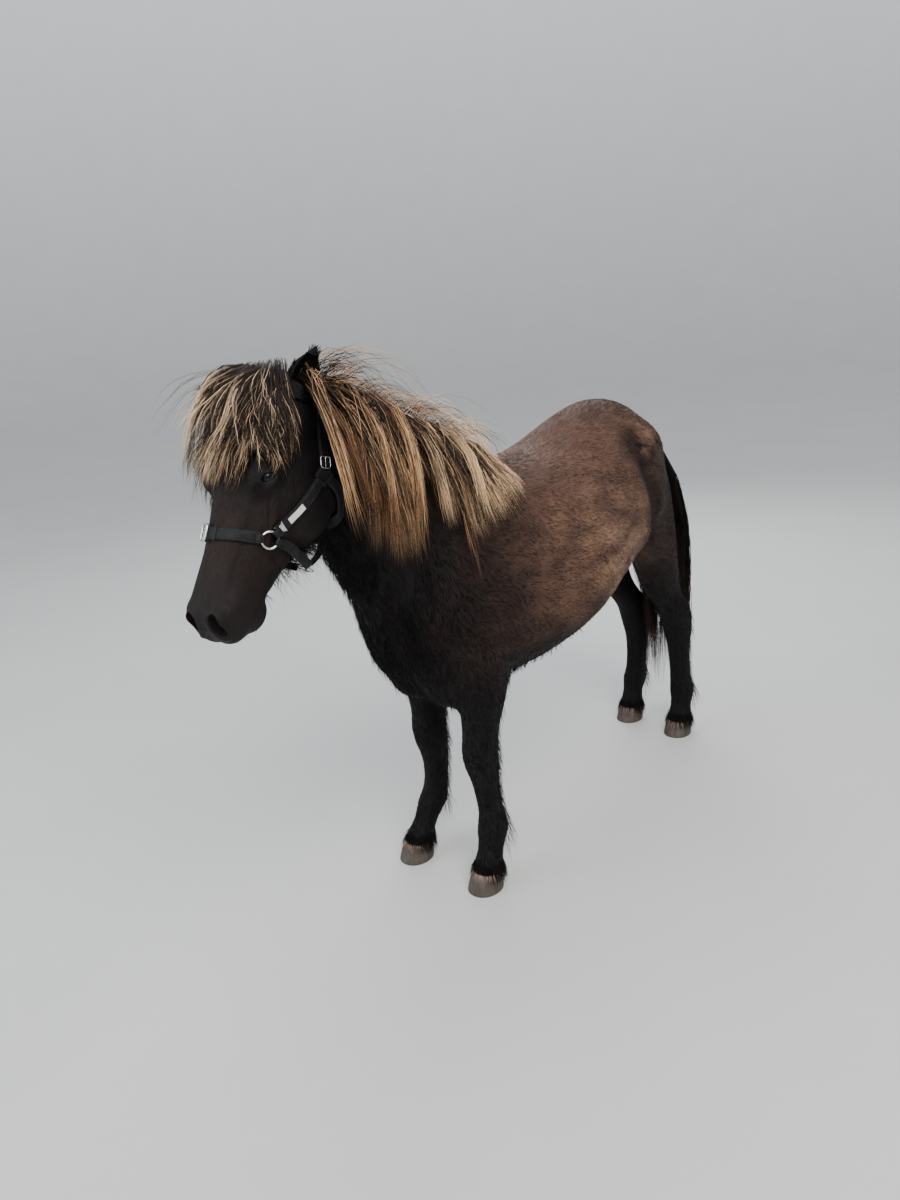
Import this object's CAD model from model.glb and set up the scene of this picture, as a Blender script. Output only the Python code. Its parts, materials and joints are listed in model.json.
"""A Shetland pony in a webbing head collar, a life-size still model: skin, coat, hair and tack."""

import json
import math
import random

import bmesh
import bpy
import numpy as np
from mathutils import Matrix, Vector, noise
from mathutils.bvhtree import BVHTree

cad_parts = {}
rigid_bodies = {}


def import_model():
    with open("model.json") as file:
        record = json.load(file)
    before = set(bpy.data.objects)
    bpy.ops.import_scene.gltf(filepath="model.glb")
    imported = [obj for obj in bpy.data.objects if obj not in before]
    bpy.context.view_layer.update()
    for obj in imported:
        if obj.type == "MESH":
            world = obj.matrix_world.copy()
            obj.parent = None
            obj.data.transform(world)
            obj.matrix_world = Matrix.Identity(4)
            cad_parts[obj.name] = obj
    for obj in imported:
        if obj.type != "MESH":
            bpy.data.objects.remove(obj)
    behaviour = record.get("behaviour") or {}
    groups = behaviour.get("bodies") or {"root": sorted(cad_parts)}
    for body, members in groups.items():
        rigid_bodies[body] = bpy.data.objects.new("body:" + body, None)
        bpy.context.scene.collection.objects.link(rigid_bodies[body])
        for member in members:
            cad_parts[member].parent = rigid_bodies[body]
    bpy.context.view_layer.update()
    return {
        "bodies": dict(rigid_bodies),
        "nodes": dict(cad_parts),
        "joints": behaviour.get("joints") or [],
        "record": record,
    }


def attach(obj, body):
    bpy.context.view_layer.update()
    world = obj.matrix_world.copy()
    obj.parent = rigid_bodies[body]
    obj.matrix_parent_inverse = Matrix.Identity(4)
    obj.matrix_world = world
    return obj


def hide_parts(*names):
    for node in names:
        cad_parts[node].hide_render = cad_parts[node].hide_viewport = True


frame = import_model()

# Everything is made with the withers' own origin and moved by this much at the end
SHIFT = Vector((-0.23435, -0.00017, 0.0))
POLL = Vector((0.790, 0.010, 1.105))
HEAD_PITCH = math.radians(53)
HEAD_YAW = math.radians(10)
HEAD_TIP = math.radians(7)
EYE_AT = Vector((0.148, 0.060, 0.026))
EYE_RADIUS = 0.019
RING_POINTS = 36
BODY_VOXEL = 0.005
SKIN_FACES = 188000
COAT_DEPTH = 0.0022
GRAVITY = Vector((0, 0, -1))
# Trunk: x, height of the topline, height of the underline, half-width, height of the widest level
TRUNK = (
    (0.605, 0.760, 0.600, 0.065, 0.680),
    (0.578, 0.840, 0.540, 0.120, 0.675),
    (0.520, 0.905, 0.490, 0.156, 0.670),
    (0.430, 0.950, 0.465, 0.178, 0.660),
    (0.330, 0.958, 0.450, 0.196, 0.655),
    (0.210, 0.935, 0.460, 0.222, 0.660),
    (0.110, 0.936, 0.490, 0.232, 0.670),
    (0.020, 0.960, 0.532, 0.216, 0.685),
    (-0.07, 0.996, 0.578, 0.198, 0.702),
    (-0.15, 1.018, 0.618, 0.180, 0.730),
    (-0.22, 1.012, 0.628, 0.168, 0.750),
    (-0.30, 0.974, 0.645, 0.138, 0.755),
    (-0.37, 0.912, 0.670, 0.092, 0.765),
    (-0.420, 0.870, 0.700, 0.050, 0.770),
    (-0.442, 0.825, 0.725, 0.020, 0.770),
)
# Neck: crest x, crest z, throat x, throat z, half-width
NECK = (
    (0.280, 0.950, 0.560, 0.560, 0.150),
    (0.390, 0.987, 0.625, 0.650, 0.132),
    (0.490, 1.032, 0.664, 0.728, 0.112),
    (0.590, 1.078, 0.698, 0.792, 0.097),
    (0.690, 1.116, 0.720, 0.848, 0.086),
    (0.765, 1.130, 0.742, 0.905, 0.076),
)
# Head, in its own frame: distance down the face from the poll, rise to the face,
# drop to the jaw, half-width, squareness
HEAD = (
    (-0.035, 0.018, 0.050, 0.045, 2.0),
    (0.000, 0.034, 0.085, 0.060, 2.1),
    (0.045, 0.048, 0.128, 0.070, 2.2),
    (0.095, 0.056, 0.150, 0.078, 2.3),
    (0.145, 0.058, 0.150, 0.080, 2.3),
    (0.195, 0.051, 0.132, 0.069, 2.4),
    (0.240, 0.044, 0.110, 0.057, 2.4),
    (0.285, 0.037, 0.094, 0.051, 2.4),
    (0.330, 0.033, 0.086, 0.051, 2.4),
    (0.365, 0.027, 0.080, 0.054, 2.3),
    (0.392, 0.012, 0.071, 0.050, 2.2),
    (0.410, -0.010, 0.054, 0.036, 2.0),
)
# Left fore leg, top to bottom: x, y, z, reach to the front, reach to the back, half-width
FORE_LEG = (
    (0.425, 0.120, 0.700, 0.095, 0.095, 0.050),
    (0.432, 0.118, 0.600, 0.092, 0.095, 0.056),
    (0.435, 0.110, 0.520, 0.076, 0.082, 0.053),
    (0.438, 0.103, 0.440, 0.057, 0.060, 0.047),
    (0.441, 0.097, 0.380, 0.045, 0.045, 0.040),
    (0.444, 0.095, 0.335, 0.045, 0.041, 0.042),
    (0.443, 0.094, 0.295, 0.041, 0.041, 0.040),
    (0.438, 0.095, 0.250, 0.031, 0.037, 0.033),
    (0.434, 0.098, 0.200, 0.028, 0.036, 0.029),
    (0.431, 0.100, 0.163, 0.030, 0.039, 0.030),
    (0.432, 0.102, 0.130, 0.036, 0.044, 0.036),
    (0.443, 0.104, 0.094, 0.030, 0.033, 0.031),
    (0.455, 0.106, 0.062, 0.033, 0.034, 0.034),
    (0.462, 0.107, 0.034, 0.034, 0.036, 0.035),
)
# Left hind leg, in the same columns
HIND_LEG = (
    (-0.262, 0.070, 0.880, 0.080, 0.066, 0.048),
    (-0.282, 0.080, 0.800, 0.100, 0.074, 0.056),
    (-0.295, 0.086, 0.710, 0.118, 0.076, 0.059),
    (-0.318, 0.086, 0.620, 0.116, 0.072, 0.056),
    (-0.350, 0.083, 0.530, 0.096, 0.058, 0.050),
    (-0.388, 0.080, 0.460, 0.076, 0.050, 0.043),
    (-0.424, 0.077, 0.410, 0.056, 0.060, 0.040),
    (-0.445, 0.075, 0.375, 0.050, 0.064, 0.040),
    (-0.459, 0.075, 0.330, 0.045, 0.053, 0.040),
    (-0.467, 0.075, 0.285, 0.038, 0.041, 0.034),
    (-0.471, 0.075, 0.230, 0.033, 0.037, 0.031),
    (-0.475, 0.077, 0.170, 0.033, 0.038, 0.031),
    (-0.477, 0.080, 0.130, 0.037, 0.045, 0.036),
    (-0.471, 0.081, 0.093, 0.031, 0.033, 0.031),
    (-0.465, 0.081, 0.062, 0.034, 0.034, 0.034),
    (-0.461, 0.081, 0.034, 0.035, 0.036, 0.035),
)
# Muscle and bone that stands out, left side: name, centre, half-sizes, turn in degrees
MASSES = (
    ("shoulder", (0.390, 0.100, 0.740), (0.090, 0.072, 0.190), (0, -24, 0)),
    ("point_of_shoulder", (0.515, 0.085, 0.665), (0.073, 0.072, 0.085), (0, 0, 0)),
    ("upper_arm", (0.415, 0.112, 0.600), (0.110, 0.060, 0.082), (0, -18, 0)),
    ("breast", (0.525, 0.055, 0.592), (0.063, 0.062, 0.103), (0, 0, 0)),
    ("brisket", (0.450, 0.045, 0.505), (0.100, 0.070, 0.078), (0, 0, 0)),
    ("ribs", (0.155, 0.108, 0.668), (0.185, 0.122, 0.150), (0, 0, 0)),
    ("hip", (-0.185, 0.102, 0.872), (0.084, 0.058, 0.072), (0, 0, 0)),
    ("rump", (-0.245, 0.062, 0.872), (0.112, 0.076, 0.092), (0, -22, 0)),
    ("buttock", (-0.345, 0.055, 0.745), (0.056, 0.048, 0.110), (0, -6, 0)),
    ("stifle", (-0.240, 0.100, 0.650), (0.060, 0.048, 0.080), (0, 10, 0)),
    ("gaskin", (-0.345, 0.086, 0.525), (0.070, 0.048, 0.100), (0, 20, 0)),
    ("point_of_hock", (-0.494, 0.076, 0.382), (0.017, 0.019, 0.036), (0, -8, 0)),
)
# The same for the head, in its own frame
HEAD_MASSES = (
    ("jowl", (0.085, 0.040, -0.085), (0.085, 0.040, 0.072), (0, 0, 0)),
    ("cheek", (0.150, 0.046, -0.075), (0.075, 0.032, 0.060), (0, 0, 0)),
    ("orbit", (0.146, 0.054, 0.028), (0.038, 0.032, 0.029), (0, 0, 0)),
    ("temple", (0.075, 0.040, 0.024), (0.055, 0.034, 0.028), (0, 0, 0)),
    ("face_crest", (0.215, 0.048, -0.022), (0.065, 0.010, 0.012), (0, 4, 0)),
    ("nostril_flare", (0.368, 0.034, -0.006), (0.032, 0.026, 0.026), (0, -12, 0)),
    ("upper_lip", (0.392, 0.018, -0.034), (0.026, 0.030, 0.028), (0, 0, 0)),
    ("chin", (0.352, 0.012, -0.074), (0.036, 0.028, 0.021), (0, 0, 0)),
)
# Hoof, bottom to top: height, centre shift to the front, reach fore and aft, half-width
HOOF = (
    (0.000, 0.010, 0.043, 0.037),
    (0.004, 0.010, 0.044, 0.038),
    (0.024, 0.005, 0.040, 0.036),
    (0.040, 0.001, 0.036, 0.034),
    (0.0437, 0.000, 0.034, 0.033),
)
# Ear, in the head's frame: how far along, half-width across, half-depth
EAR = (
    (0.0, 0.026, 0.022),
    (0.25, 0.029, 0.022),
    (0.55, 0.025, 0.017),
    (0.8, 0.0125, 0.009),
    (1.0, 0.0022, 0.0022),
)
EAR_BASE = Vector((-0.012, 0.040, 0.004))
EAR_OUT = Vector((0.55, 0.75, 0.25))
EAR_BOW = 0.010
EAR_TIPS = {1: Vector((-0.090, 0.080, 0.030)), -1: Vector((0.002, 0.123, 0.087))}

# The line of the mouth, in the head's frame: how it runs round, then how deep and how far it parts
MOUTH_MIDDLE = 0.336
MOUTH_REACH = 0.076
MOUTH_WIDTH = 0.066
MOUTH_LEVEL = -0.052
MOUTH_SAG = 0.012
MOUTH_DEEP = 0.010
MOUTH_OPEN = 0.0013
# Webbing of the head collar
STRAP_WIDTH = 0.021
STRAP_THICK = 0.003
# Thickness of a first and of a second layer, and how far the second lies above the first
LAYER = 0.0022
DOUBLE = 0.0016
ABOVE = 0.0019
# Courses of the straps on the left, in the head's frame
NOSEBAND_FRONT = 0.260
NOSEBAND_SIDE = 0.231
CHIN_RING_AT = Vector((0.235, 0.0, -0.160))

RING_RADIUS = 0.0140
RING_BAR = 0.0022
CHIN_RING_RADIUS = 0.0125
METAL = ("halter_ring_left", "halter_ring_right", "halter_ring_chin", "halter_buckle", "halter_keeper")
BUCKLE_PLACE = 0.078
BUCKLE_HALF = (0.0105, 0.0140)
SLIDE_WIDTH = 0.030
SLIDE_THICK = 0.0036
SLIDE_REACH = (0.0150, 0.0149)
KEEPER_WIDTH = 0.026
PATCH_WIDTH = 0.013
NARROW_STRAP = 0.018
CHEEK_COURSE = ((0.186, 0.075, -0.042), (0.152, 0.080, -0.053), (0.098, 0.082, -0.068))
CROWN_COURSE = (
    (0.091, 0.082, -0.066),
    (0.044, 0.073, -0.048),
    (0.012, 0.067, -0.038),
    (-0.022, 0.062, -0.034),
    (-0.058, 0.045, -0.008),
    (-0.068, 0.022, 0.014),
    (-0.070, 0.000, 0.020),
)
THROAT_COURSE = (
    (0.098, 0.082, -0.074),
    (0.108, 0.080, -0.112),
    (0.132, 0.048, -0.156),
    (0.146, 0.000, -0.170),
)
CHIN_COURSE = (
    (0.233, 0.062, -0.055),
    (0.235, 0.050, -0.098),
    (0.235, 0.030, -0.140),
    (0.235, 0.011, -0.155),
)
JAW_COURSE = (
    (0.225, 0.000, -0.166),
    (0.200, 0.000, -0.178),
    (0.172, 0.000, -0.180),
    (0.146, 0.000, -0.172),
)
# The top of the neck from the poll back, and how far the mane's roots rise over it
CREST = ((0.765, 1.125), (0.690, 1.108), (0.590, 1.068), (0.490, 1.025), (0.390, 0.985), (0.270, 0.948))
CREST_RISE = 0.010
# Where the mane parts along the crest, and the lengths of mane and forelock
MANE_PARTING = 0.42
MANE_FRONT = 0.40
MANE_BACK = 0.25
MANE_WITHERS = 0.13
FORELOCK_LENGTH = 0.220
# The dock, top to tip: x, z, half-width
DOCK = (
    (-0.425, 0.885, 0.024),
    (-0.452, 0.858, 0.025),
    (-0.474, 0.800, 0.024),
    (-0.486, 0.720, 0.020),
)
TAIL_END = 0.10
# The nostril: its middle, its long way, half-sizes of its rim
NOSTRIL_AT = Vector((0.401, 0.031, 0.000))
NOSTRIL_LONG = Vector((0.521, 0.347, -0.780))
NOSTRIL_RIM = (0.0265, 0.0165)
# Its two hollows: shift along and across it, half-sizes
NOSTRIL_HOLES = ((0.0, 0.0, (0.0210, 0.0120, 0.0190)), (-0.0110, 0.0050, (0.0125, 0.0110, 0.0150)))
# Creases and ridges of the face: course on the left in the head's frame, width, height out of the skin
HEAD_STROKES = (
    (((0.112, 0.050, 0.054), (0.138, 0.066, 0.052), (0.165, 0.070, 0.042)), 0.0080, 0.0030),
    (((0.128, 0.078, 0.042), (0.148, 0.084, 0.044), (0.170, 0.078, 0.034)), 0.0035, -0.0014),
    (((0.168, 0.078, 0.014), (0.150, 0.085, 0.008), (0.130, 0.082, 0.012)), 0.0060, -0.0022),
    (((0.170, 0.080, 0.004), (0.200, 0.068, -0.012), (0.245, 0.055, -0.024)), 0.0070, 0.0028),
    (((0.200, 0.052, 0.024), (0.260, 0.046, 0.012), (0.325, 0.043, 0.008)), 0.0110, -0.0030),
    (((0.094, 0.048, 0.048), (0.100, 0.050, 0.046)), 0.0140, -0.0050),
    (((0.345, 0.050, 0.010), (0.352, 0.050, 0.006)), 0.0100, -0.0025),
    (((0.300, 0.050, -0.052), (0.350, 0.055, -0.050), (0.400, 0.035, -0.044)), 0.0060, 0.0016),
    (((0.320, 0.045, -0.070), (0.360, 0.045, -0.066), (0.395, 0.020, -0.060)), 0.0060, 0.0012),
    (((0.318, 0.030, -0.082), (0.322, 0.000, -0.088)), 0.0110, -0.0035),
    (((0.185, 0.066, -0.060), (0.215, 0.058, -0.075), (0.225, 0.050, -0.095)), 0.0110, -0.0030),
    (((0.255, 0.058, -0.020), (0.275, 0.055, -0.045), (0.290, 0.050, -0.060)), 0.0045, 0.0012),
)
# The same for the body and legs, with the left side's courses in world axes
BODY_STROKES = (
    (
        ((-0.120, 0.120, 0.900), (-0.150, 0.150, 0.840), (-0.172, 0.160, 0.760), (-0.178, 0.155, 0.660)),
        0.0240,
        -0.0190,
    ),
    (
        ((-0.075, 0.160, 0.860), (-0.100, 0.180, 0.780), (-0.120, 0.180, 0.700), (-0.125, 0.165, 0.620)),
        0.0240,
        0.0070,
    ),
    (((-0.196, 0.120, 0.940), (-0.216, 0.132, 0.900)), 0.0140, 0.0085),
    (((-0.160, 0.110, 0.955), (-0.175, 0.135, 0.915)), 0.0200, -0.0060),
    (((0.290, 0.165, 0.860), (0.300, 0.190, 0.760), (0.335, 0.185, 0.640)), 0.0240, -0.0055),
    (((0.610, 0.000, 0.730), (0.600, 0.000, 0.620), (0.560, 0.000, 0.530)), 0.0150, -0.0080),
    (((0.705, 0.066, 0.900), (0.645, 0.086, 0.810), (0.595, 0.100, 0.730)), 0.0150, -0.0055),
    (((0.345, 0.165, 0.610), (0.372, 0.165, 0.560)), 0.0150, -0.0040),
    (((0.455, 0.150, 0.560), (0.450, 0.150, 0.470), (0.445, 0.142, 0.400)), 0.0130, 0.0020),
    (((0.428, 0.125, 0.280), (0.423, 0.126, 0.220), (0.421, 0.128, 0.150)), 0.0060, -0.0022),
    (((0.428, 0.070, 0.280), (0.423, 0.072, 0.220), (0.421, 0.074, 0.150)), 0.0060, -0.0022),
    (((-0.478, 0.118, 0.290), (-0.484, 0.116, 0.230), (-0.484, 0.116, 0.150)), 0.0060, -0.0022),
    (((-0.425, 0.128, 0.400), (-0.448, 0.124, 0.340)), 0.0110, -0.0040),
    (((0.470, 0.118, 0.330), (0.476, 0.112, 0.300)), 0.0120, 0.0020),
)

# The skin's map and each tuft's patch on it, and the number, brightness and size of the tufts
MAP_NAME = "OFBake"
MAP_PATCH = 0.003
TUFT_PIECES = 4
TUFTS_EACH = 36000
TUFT_LIFT = 1.30
TUFT_LONG = 0.018
TUFT_WIDE = 0.0017
TUFT_SUNK = 0.0006
# The eye: its tilt in degrees, from its middle to the opening, half-sizes of the cut and of the lids
EYE_TILT = -42
EYE_OUT = Vector((0.0048, 0.0165, 0.0066))
LID_OPENING = (0.0150, 0.015, 0.0082)
LID_LONG = 0.0160
LID_HIGH = 0.0084
# Folds round the eye: size, first and last angle, height over the eyeball, thickness
LID_FOLDS = (
    (0.97, 0, 360, 0.0010, 0.0016),
    (1.22, 8, 172, 0.0036, 0.0022),
    (1.52, 22, 150, 0.0034, 0.0020),
    (1.24, 200, 345, 0.0028, 0.0016),
    (1.48, 215, 330, 0.0020, 0.0014),
)
EYE_RIM = (0.040, 0.028, 0.024)
EYE_IRIS = (0.0110, 0.0062, 0.0042)
EYE_PUPIL = (0.0015, 0.0016, 0.0025)
LID_SKIN = (0.0150, 0.0160, 0.0185)
# Middles of the bare lids and of the shade over the eye, from the eye's own
LID_SKIN_AT = Vector((0.003, 0.017, 0.004))
SOCKET_AT = Vector((0.010, 0.010, 0.018))
# Markings, horn and short hairs
BLACK = (0.0040, 0.0030, 0.0030)
UMBER = (0.0320, 0.0165, 0.0130)
BROWN = (0.1050, 0.0560, 0.0400)
GOLD = (0.2150, 0.1300, 0.0820)
MUZZLE = (0.0170, 0.0135, 0.0130)
HORN = (0.070, 0.053, 0.042)
CORONET = (0.190, 0.120, 0.090)
DARK_HAIR = (0.0050, 0.0038, 0.0035)
PALE_HAIR = (0.420, 0.290, 0.170)
# Long hair: root, middle, pale and end colours, where it turns pale, how softly,
# how much of it does, and where the end colour begins
FRONT_TONE = (
    (0.020, 0.013, 0.010), (0.125, 0.066, 0.040), (0.680, 0.410, 0.210), (0.130, 0.055, 0.026),
    0.48, 0.15, 0.46, 0.82,
)
BACK_TONE = (
    (0.022, 0.014, 0.011), (0.150, 0.085, 0.055), (0.860, 0.590, 0.350), (0.800, 0.540, 0.320),
    0.46, 0.16, 0.60, 0.97,
)
UNDER_TONE = (
    (0.008, 0.006, 0.005), (0.040, 0.021, 0.014), (0.200, 0.100, 0.048), (0.080, 0.034, 0.016),
    0.66, 0.26, 0.30, 0.86,
)
BROW_TONE = (
    (0.024, 0.017, 0.014), (0.130, 0.082, 0.058), (0.860, 0.620, 0.390), (0.920, 0.710, 0.480),
    0.60, 0.16, 0.44, 0.97,
)
BROW_NEAR_TONE = (
    (0.018, 0.012, 0.010), (0.062, 0.038, 0.028), (0.700, 0.470, 0.280), (0.520, 0.330, 0.190),
    0.84, 0.16, 0.12, 0.97,
)
TAIL_TONE = (
    (0.005, 0.004, 0.0035), (0.014, 0.009, 0.007), (0.060, 0.038, 0.026), (0.050, 0.026, 0.016),
    0.66, 0.40, 0.30, 0.90,
)
# CAD nodes that the skin and the fringe stand for, and those of the collar that aren't webbing
FLESH = ("torso", "neck", "head", "ear_left", "ear_right")
FLESH += ("leg_fore_left", "leg_fore_right", "leg_hind_left", "leg_hind_right")
FEATHERS = ("feather_fore_left", "feather_fore_right", "feather_hind_left", "feather_hind_right")
NOT_WEB = METAL + ("halter_patch",)
# The camera: place, heading, dip, roll, focal length and sensor
CAMERA_AT = (1.4780, 1.2641, 1.21)
YAW = math.radians(224.0)
DIP = math.radians(17.2)
ROLL = math.radians(-4.7)
LENS = 26.16
SENSOR = 36
# Forward of the first a place can belong to the head, and forward of the second to the face
HEAD_FROM = 0.6
FACE_FROM = 0.68

WORK = bpy.data.collections.new("work")
bpy.context.scene.collection.children.link(WORK)


def linked(name, mesh):
    obj = bpy.data.objects.new(name, mesh)
    WORK.objects.link(obj)
    return obj


def mesh_object(name, points, faces):
    mesh = bpy.data.meshes.new(name)
    mesh.from_pydata([tuple(p) for p in points], [], faces)
    mesh.update()
    return linked(name, mesh)


def smooth_rows(rows, steps):
    """Rows of numbers with steps rows between each pair, on a curve through the rows given."""
    rows = np.array(rows, float)
    padded = np.vstack([2 * rows[0] - rows[1], rows, 2 * rows[-1] - rows[-2]])
    found = []
    for i in range(1, len(rows)):
        before, start, end, after = padded[i - 1 : i + 3]
        for k in range(steps):
            t = k / steps
            curve = 2 * start + (end - before) * t + (2 * before - 5 * start + 4 * end - after) * t**2
            found.append(0.5 * (curve + (3 * start - before - 3 * end + after) * t**3))
    found.append(rows[-1])
    return np.array(found)


def powered(value, power):
    """The value to this power, with its sign kept."""
    return math.copysign(abs(value) ** power, value)


def ring(centre, side, up, width, rise, drop, square, count):
    """A rounded section: half-width to each side, rise above the centre, drop below it."""
    points = []
    for k in range(count):
        angle = 2 * math.pi * k / count
        along = powered(math.cos(angle), 2 / square) * width
        across = powered(math.sin(angle), 2 / square) * (rise if math.sin(angle) > 0 else drop)
        points.append(centre + side * along + up * across)
    return points


def face_out(mesh):
    shape = bmesh.new()
    shape.from_mesh(mesh)
    bmesh.ops.recalc_face_normals(shape, faces=shape.faces)
    if shape.calc_volume(signed=True) < 0:
        bmesh.ops.reverse_faces(shape, faces=shape.faces)
    shape.to_mesh(mesh)
    shape.free()


def loft(name, rings, closed=False):
    """A solid through rings of the same number of points, capped or run round to its start."""
    count = len(rings[0])
    points = [p for section in rings for p in section]
    faces = [] if closed else [list(range(count))[::-1]]
    total = len(rings)
    for i in range(total if closed else total - 1):
        for k in range(count):
            n = (k + 1) % count
            a, b = i * count, ((i + 1) % total) * count
            faces.append((a + k, a + n, b + n, b + k))
    if not closed:
        faces.append(list(range((total - 1) * count, total * count)))
    obj = mesh_object(name, points, faces)
    face_out(obj.data)
    return obj


def blob(name, centre, sizes, turn, place=None, around=32, rows=20):
    """An ellipsoid with these half-sizes, turned by degrees about X, Y and Z."""
    shape = bmesh.new()
    bmesh.ops.create_uvsphere(shape, u_segments=around, v_segments=rows, radius=1)
    mesh = bpy.data.meshes.new(name)
    shape.to_mesh(mesh)
    shape.free()
    turned = Matrix.Translation(centre)
    for axis, angle in zip("ZYX", reversed(turn)):
        turned = turned @ Matrix.Rotation(math.radians(angle), 4, axis)
    mesh.transform((place or Matrix.Identity(4)) @ turned @ Matrix.Diagonal((*sizes, 1)))
    return linked(name, mesh)


def head_frame():
    return (
        Matrix.Translation(POLL)
        @ Matrix.Rotation(HEAD_YAW, 4, "Z")
        @ Matrix.Rotation(HEAD_PITCH, 4, "Y")
        @ Matrix.Rotation(HEAD_TIP, 4, "X")
    )


HEAD_PLACE = head_frame()
HEAD_TURN = HEAD_PLACE.to_3x3()
HEAD_AXES = np.array(HEAD_TURN)


def to_head(points):
    """World points as rows, in the head's own frame."""
    return (points - np.array(POLL)) @ HEAD_AXES


def sided(point, side):
    return Vector((point[0], point[1] * side, point[2]))


def mirrored(points, side):
    """The points as the left side sees them."""
    return points * np.array((1, side, 1))


def discard(obj):
    mesh = obj.data
    bpy.data.objects.remove(obj, do_unlink=True)
    if mesh.users == 0:
        bpy.data.meshes.remove(mesh)


def join(name, objects):
    """One mesh of all these, with the sources removed."""
    shape = bmesh.new()
    for obj in objects:
        shape.from_mesh(obj.data)
        discard(obj)
    made = bpy.data.meshes.new(name)
    shape.to_mesh(made)
    shape.free()
    return linked(name, made)


def apply_modifiers(obj):
    """Puts the evaluated mesh in place of the modifiers."""
    bpy.context.view_layer.update()
    graph = bpy.context.evaluated_depsgraph_get()
    made = bpy.data.meshes.new_from_object(obj.evaluated_get(graph))
    obj.modifiers.clear()
    old = obj.data
    obj.data = made
    bpy.data.meshes.remove(old)
    return obj


def combine(obj, tools, how="DIFFERENCE"):
    """Adds the tools to the object or takes them away from it, all at once."""
    group = bpy.data.collections.new("tools")
    bpy.context.scene.collection.children.link(group)
    for tool in tools:
        WORK.objects.unlink(tool)
        group.objects.link(tool)
    step = obj.modifiers.new("combine", "BOOLEAN")
    step.operation = how
    step.solver = "MANIFOLD"
    step.operand_type = "COLLECTION"
    step.collection = group
    apply_modifiers(obj)
    for tool in list(group.objects):
        discard(tool)
    bpy.data.collections.remove(group)
    return obj


def read(items, name, width, kind=float):
    """One attribute of all the items, a row each."""
    found = np.empty(len(items) * width, dtype=kind)
    items.foreach_get(name, found)
    return found.reshape(-1, width)


def points_of(obj):
    return read(obj.data.vertices, "co", 3)


def normals_of(obj):
    return read(obj.data.vertex_normals, "vector", 3, np.float32).astype(float)


def set_points(obj, points):
    obj.data.vertices.foreach_set("co", points.ravel())
    obj.data.update()


def ramp(value, low, high):
    """0 below low, 1 above high, smooth between."""
    t = np.clip((value - low) / (high - low), 0.0, 1.0)
    return t * t * (3 - 2 * t)


def bell(value, middle, width):
    return np.exp(-(((value - middle) / width) ** 2))


def mixed(first, second, share):
    """From the first, where the share is 0, to the second, where it is 1."""
    return np.asarray(first) * (1 - share) + np.asarray(second) * share


def trunk_form():
    across, up = Vector((0, 1, 0)), Vector((0, 0, 1))
    rings = [
        ring(Vector((x, 0, level)), across, up, width, top - level, level - low, 2.1, RING_POINTS)
        for x, top, low, width, level in smooth_rows(TRUNK, 3)
    ]
    return loft("trunk_form", rings)


def neck_form():
    across = Vector((0, 1, 0))
    rings = []
    for crest_x, crest_z, throat_x, throat_z, width in smooth_rows(NECK, 3):
        crest, throat = Vector((crest_x, 0, crest_z)), Vector((throat_x, 0, throat_z))
        half = (crest - throat) / 2
        middle = throat + half * 0.9
        rise, drop = (crest - middle).length, (throat - middle).length
        rings.append(ring(middle, across, half.normalized(), width, rise, drop, 2.0, RING_POINTS))
    return loft("neck_form", rings)


def head_form():
    frame = head_frame()
    across, up = Vector((0, 1, 0)), Vector((0, 0, 1))
    rings = []
    for down, rise, drop, width, square in smooth_rows(HEAD, 3):
        middle = (rise - drop) / 2 + 0.012
        centre = Vector((down, 0, middle))
        section = ring(centre, across, up, width, rise - middle, middle + drop, square, RING_POINTS)
        rings.append([frame @ p for p in section])
    return loft("head_form", rings)


def stance(rows, side):
    """The rows of one leg: the right legs stand a little otherwise than the left."""
    if side > 0:
        return rows
    shifted = []
    for x, y, z, front, back, width in rows:
        fade = min(1.0, max(0.0, (0.64 - z) / 0.20))
        if rows is FORE_LEG:
            lean = min(1.0, max(0.0, (z - 0.05) / 0.16)) * fade
            shifted.append((x + 0.006 - 0.030 * lean, y - 0.012 * lean, z, front, back, width))
        else:
            spread = min(1.0, max(0.0, (0.26 - z) / 0.16))
            shifted.append((x - 0.010 * fade, y - 0.003 * fade + 0.012 * spread, z, front, back, width))
    return tuple(shifted)


def leg_form(name, rows, side):
    across, ahead = Vector((0, side, 0)), Vector((1, 0, 0))
    rings = [
        ring(Vector((x, y * side, z)), across, ahead, width, front, back, 2.1, 14)
        for x, y, z, front, back, width in smooth_rows(stance(rows, side), 2)
    ]
    return loft(name, rings)


def flesh():
    forms = [trunk_form(), neck_form(), head_form()]
    for side in (1, -1):
        forms += [leg_form("fore", FORE_LEG, side), leg_form("hind", HIND_LEG, side)]
        for masses, place in ((MASSES, None), (HEAD_MASSES, HEAD_PLACE)):
            for name, centre, sizes, turn in masses:
                forms.append(blob(name, sided(centre, side), sizes, turn, place))
    return forms


def edges_of(obj):
    return read(obj.data.edges, "vertices", 2, np.int32)


def relaxed(obj, weights, factor, rounds):
    """Each point drawn towards the mean of its neighbours, by its own weight."""
    points, edges = points_of(obj), edges_of(obj)
    first, second = edges[:, 0], edges[:, 1]
    total = len(points)
    degree = np.maximum(np.bincount(first, minlength=total) + np.bincount(second, minlength=total), 1)
    for _ in range(rounds):
        mean = np.empty_like(points)
        for axis in range(3):
            value = points[:, axis]
            mean[:, axis] = np.bincount(first, value[second], total)
            mean[:, axis] += np.bincount(second, value[first], total)
        points += (mean / degree[:, None] - points) * (weights * factor)[:, None]
    set_points(obj, points)


def near(points, centre, sizes):
    return np.exp(-(((points - np.array(centre)) / np.array(sizes)) ** 2).sum(axis=1))


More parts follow.
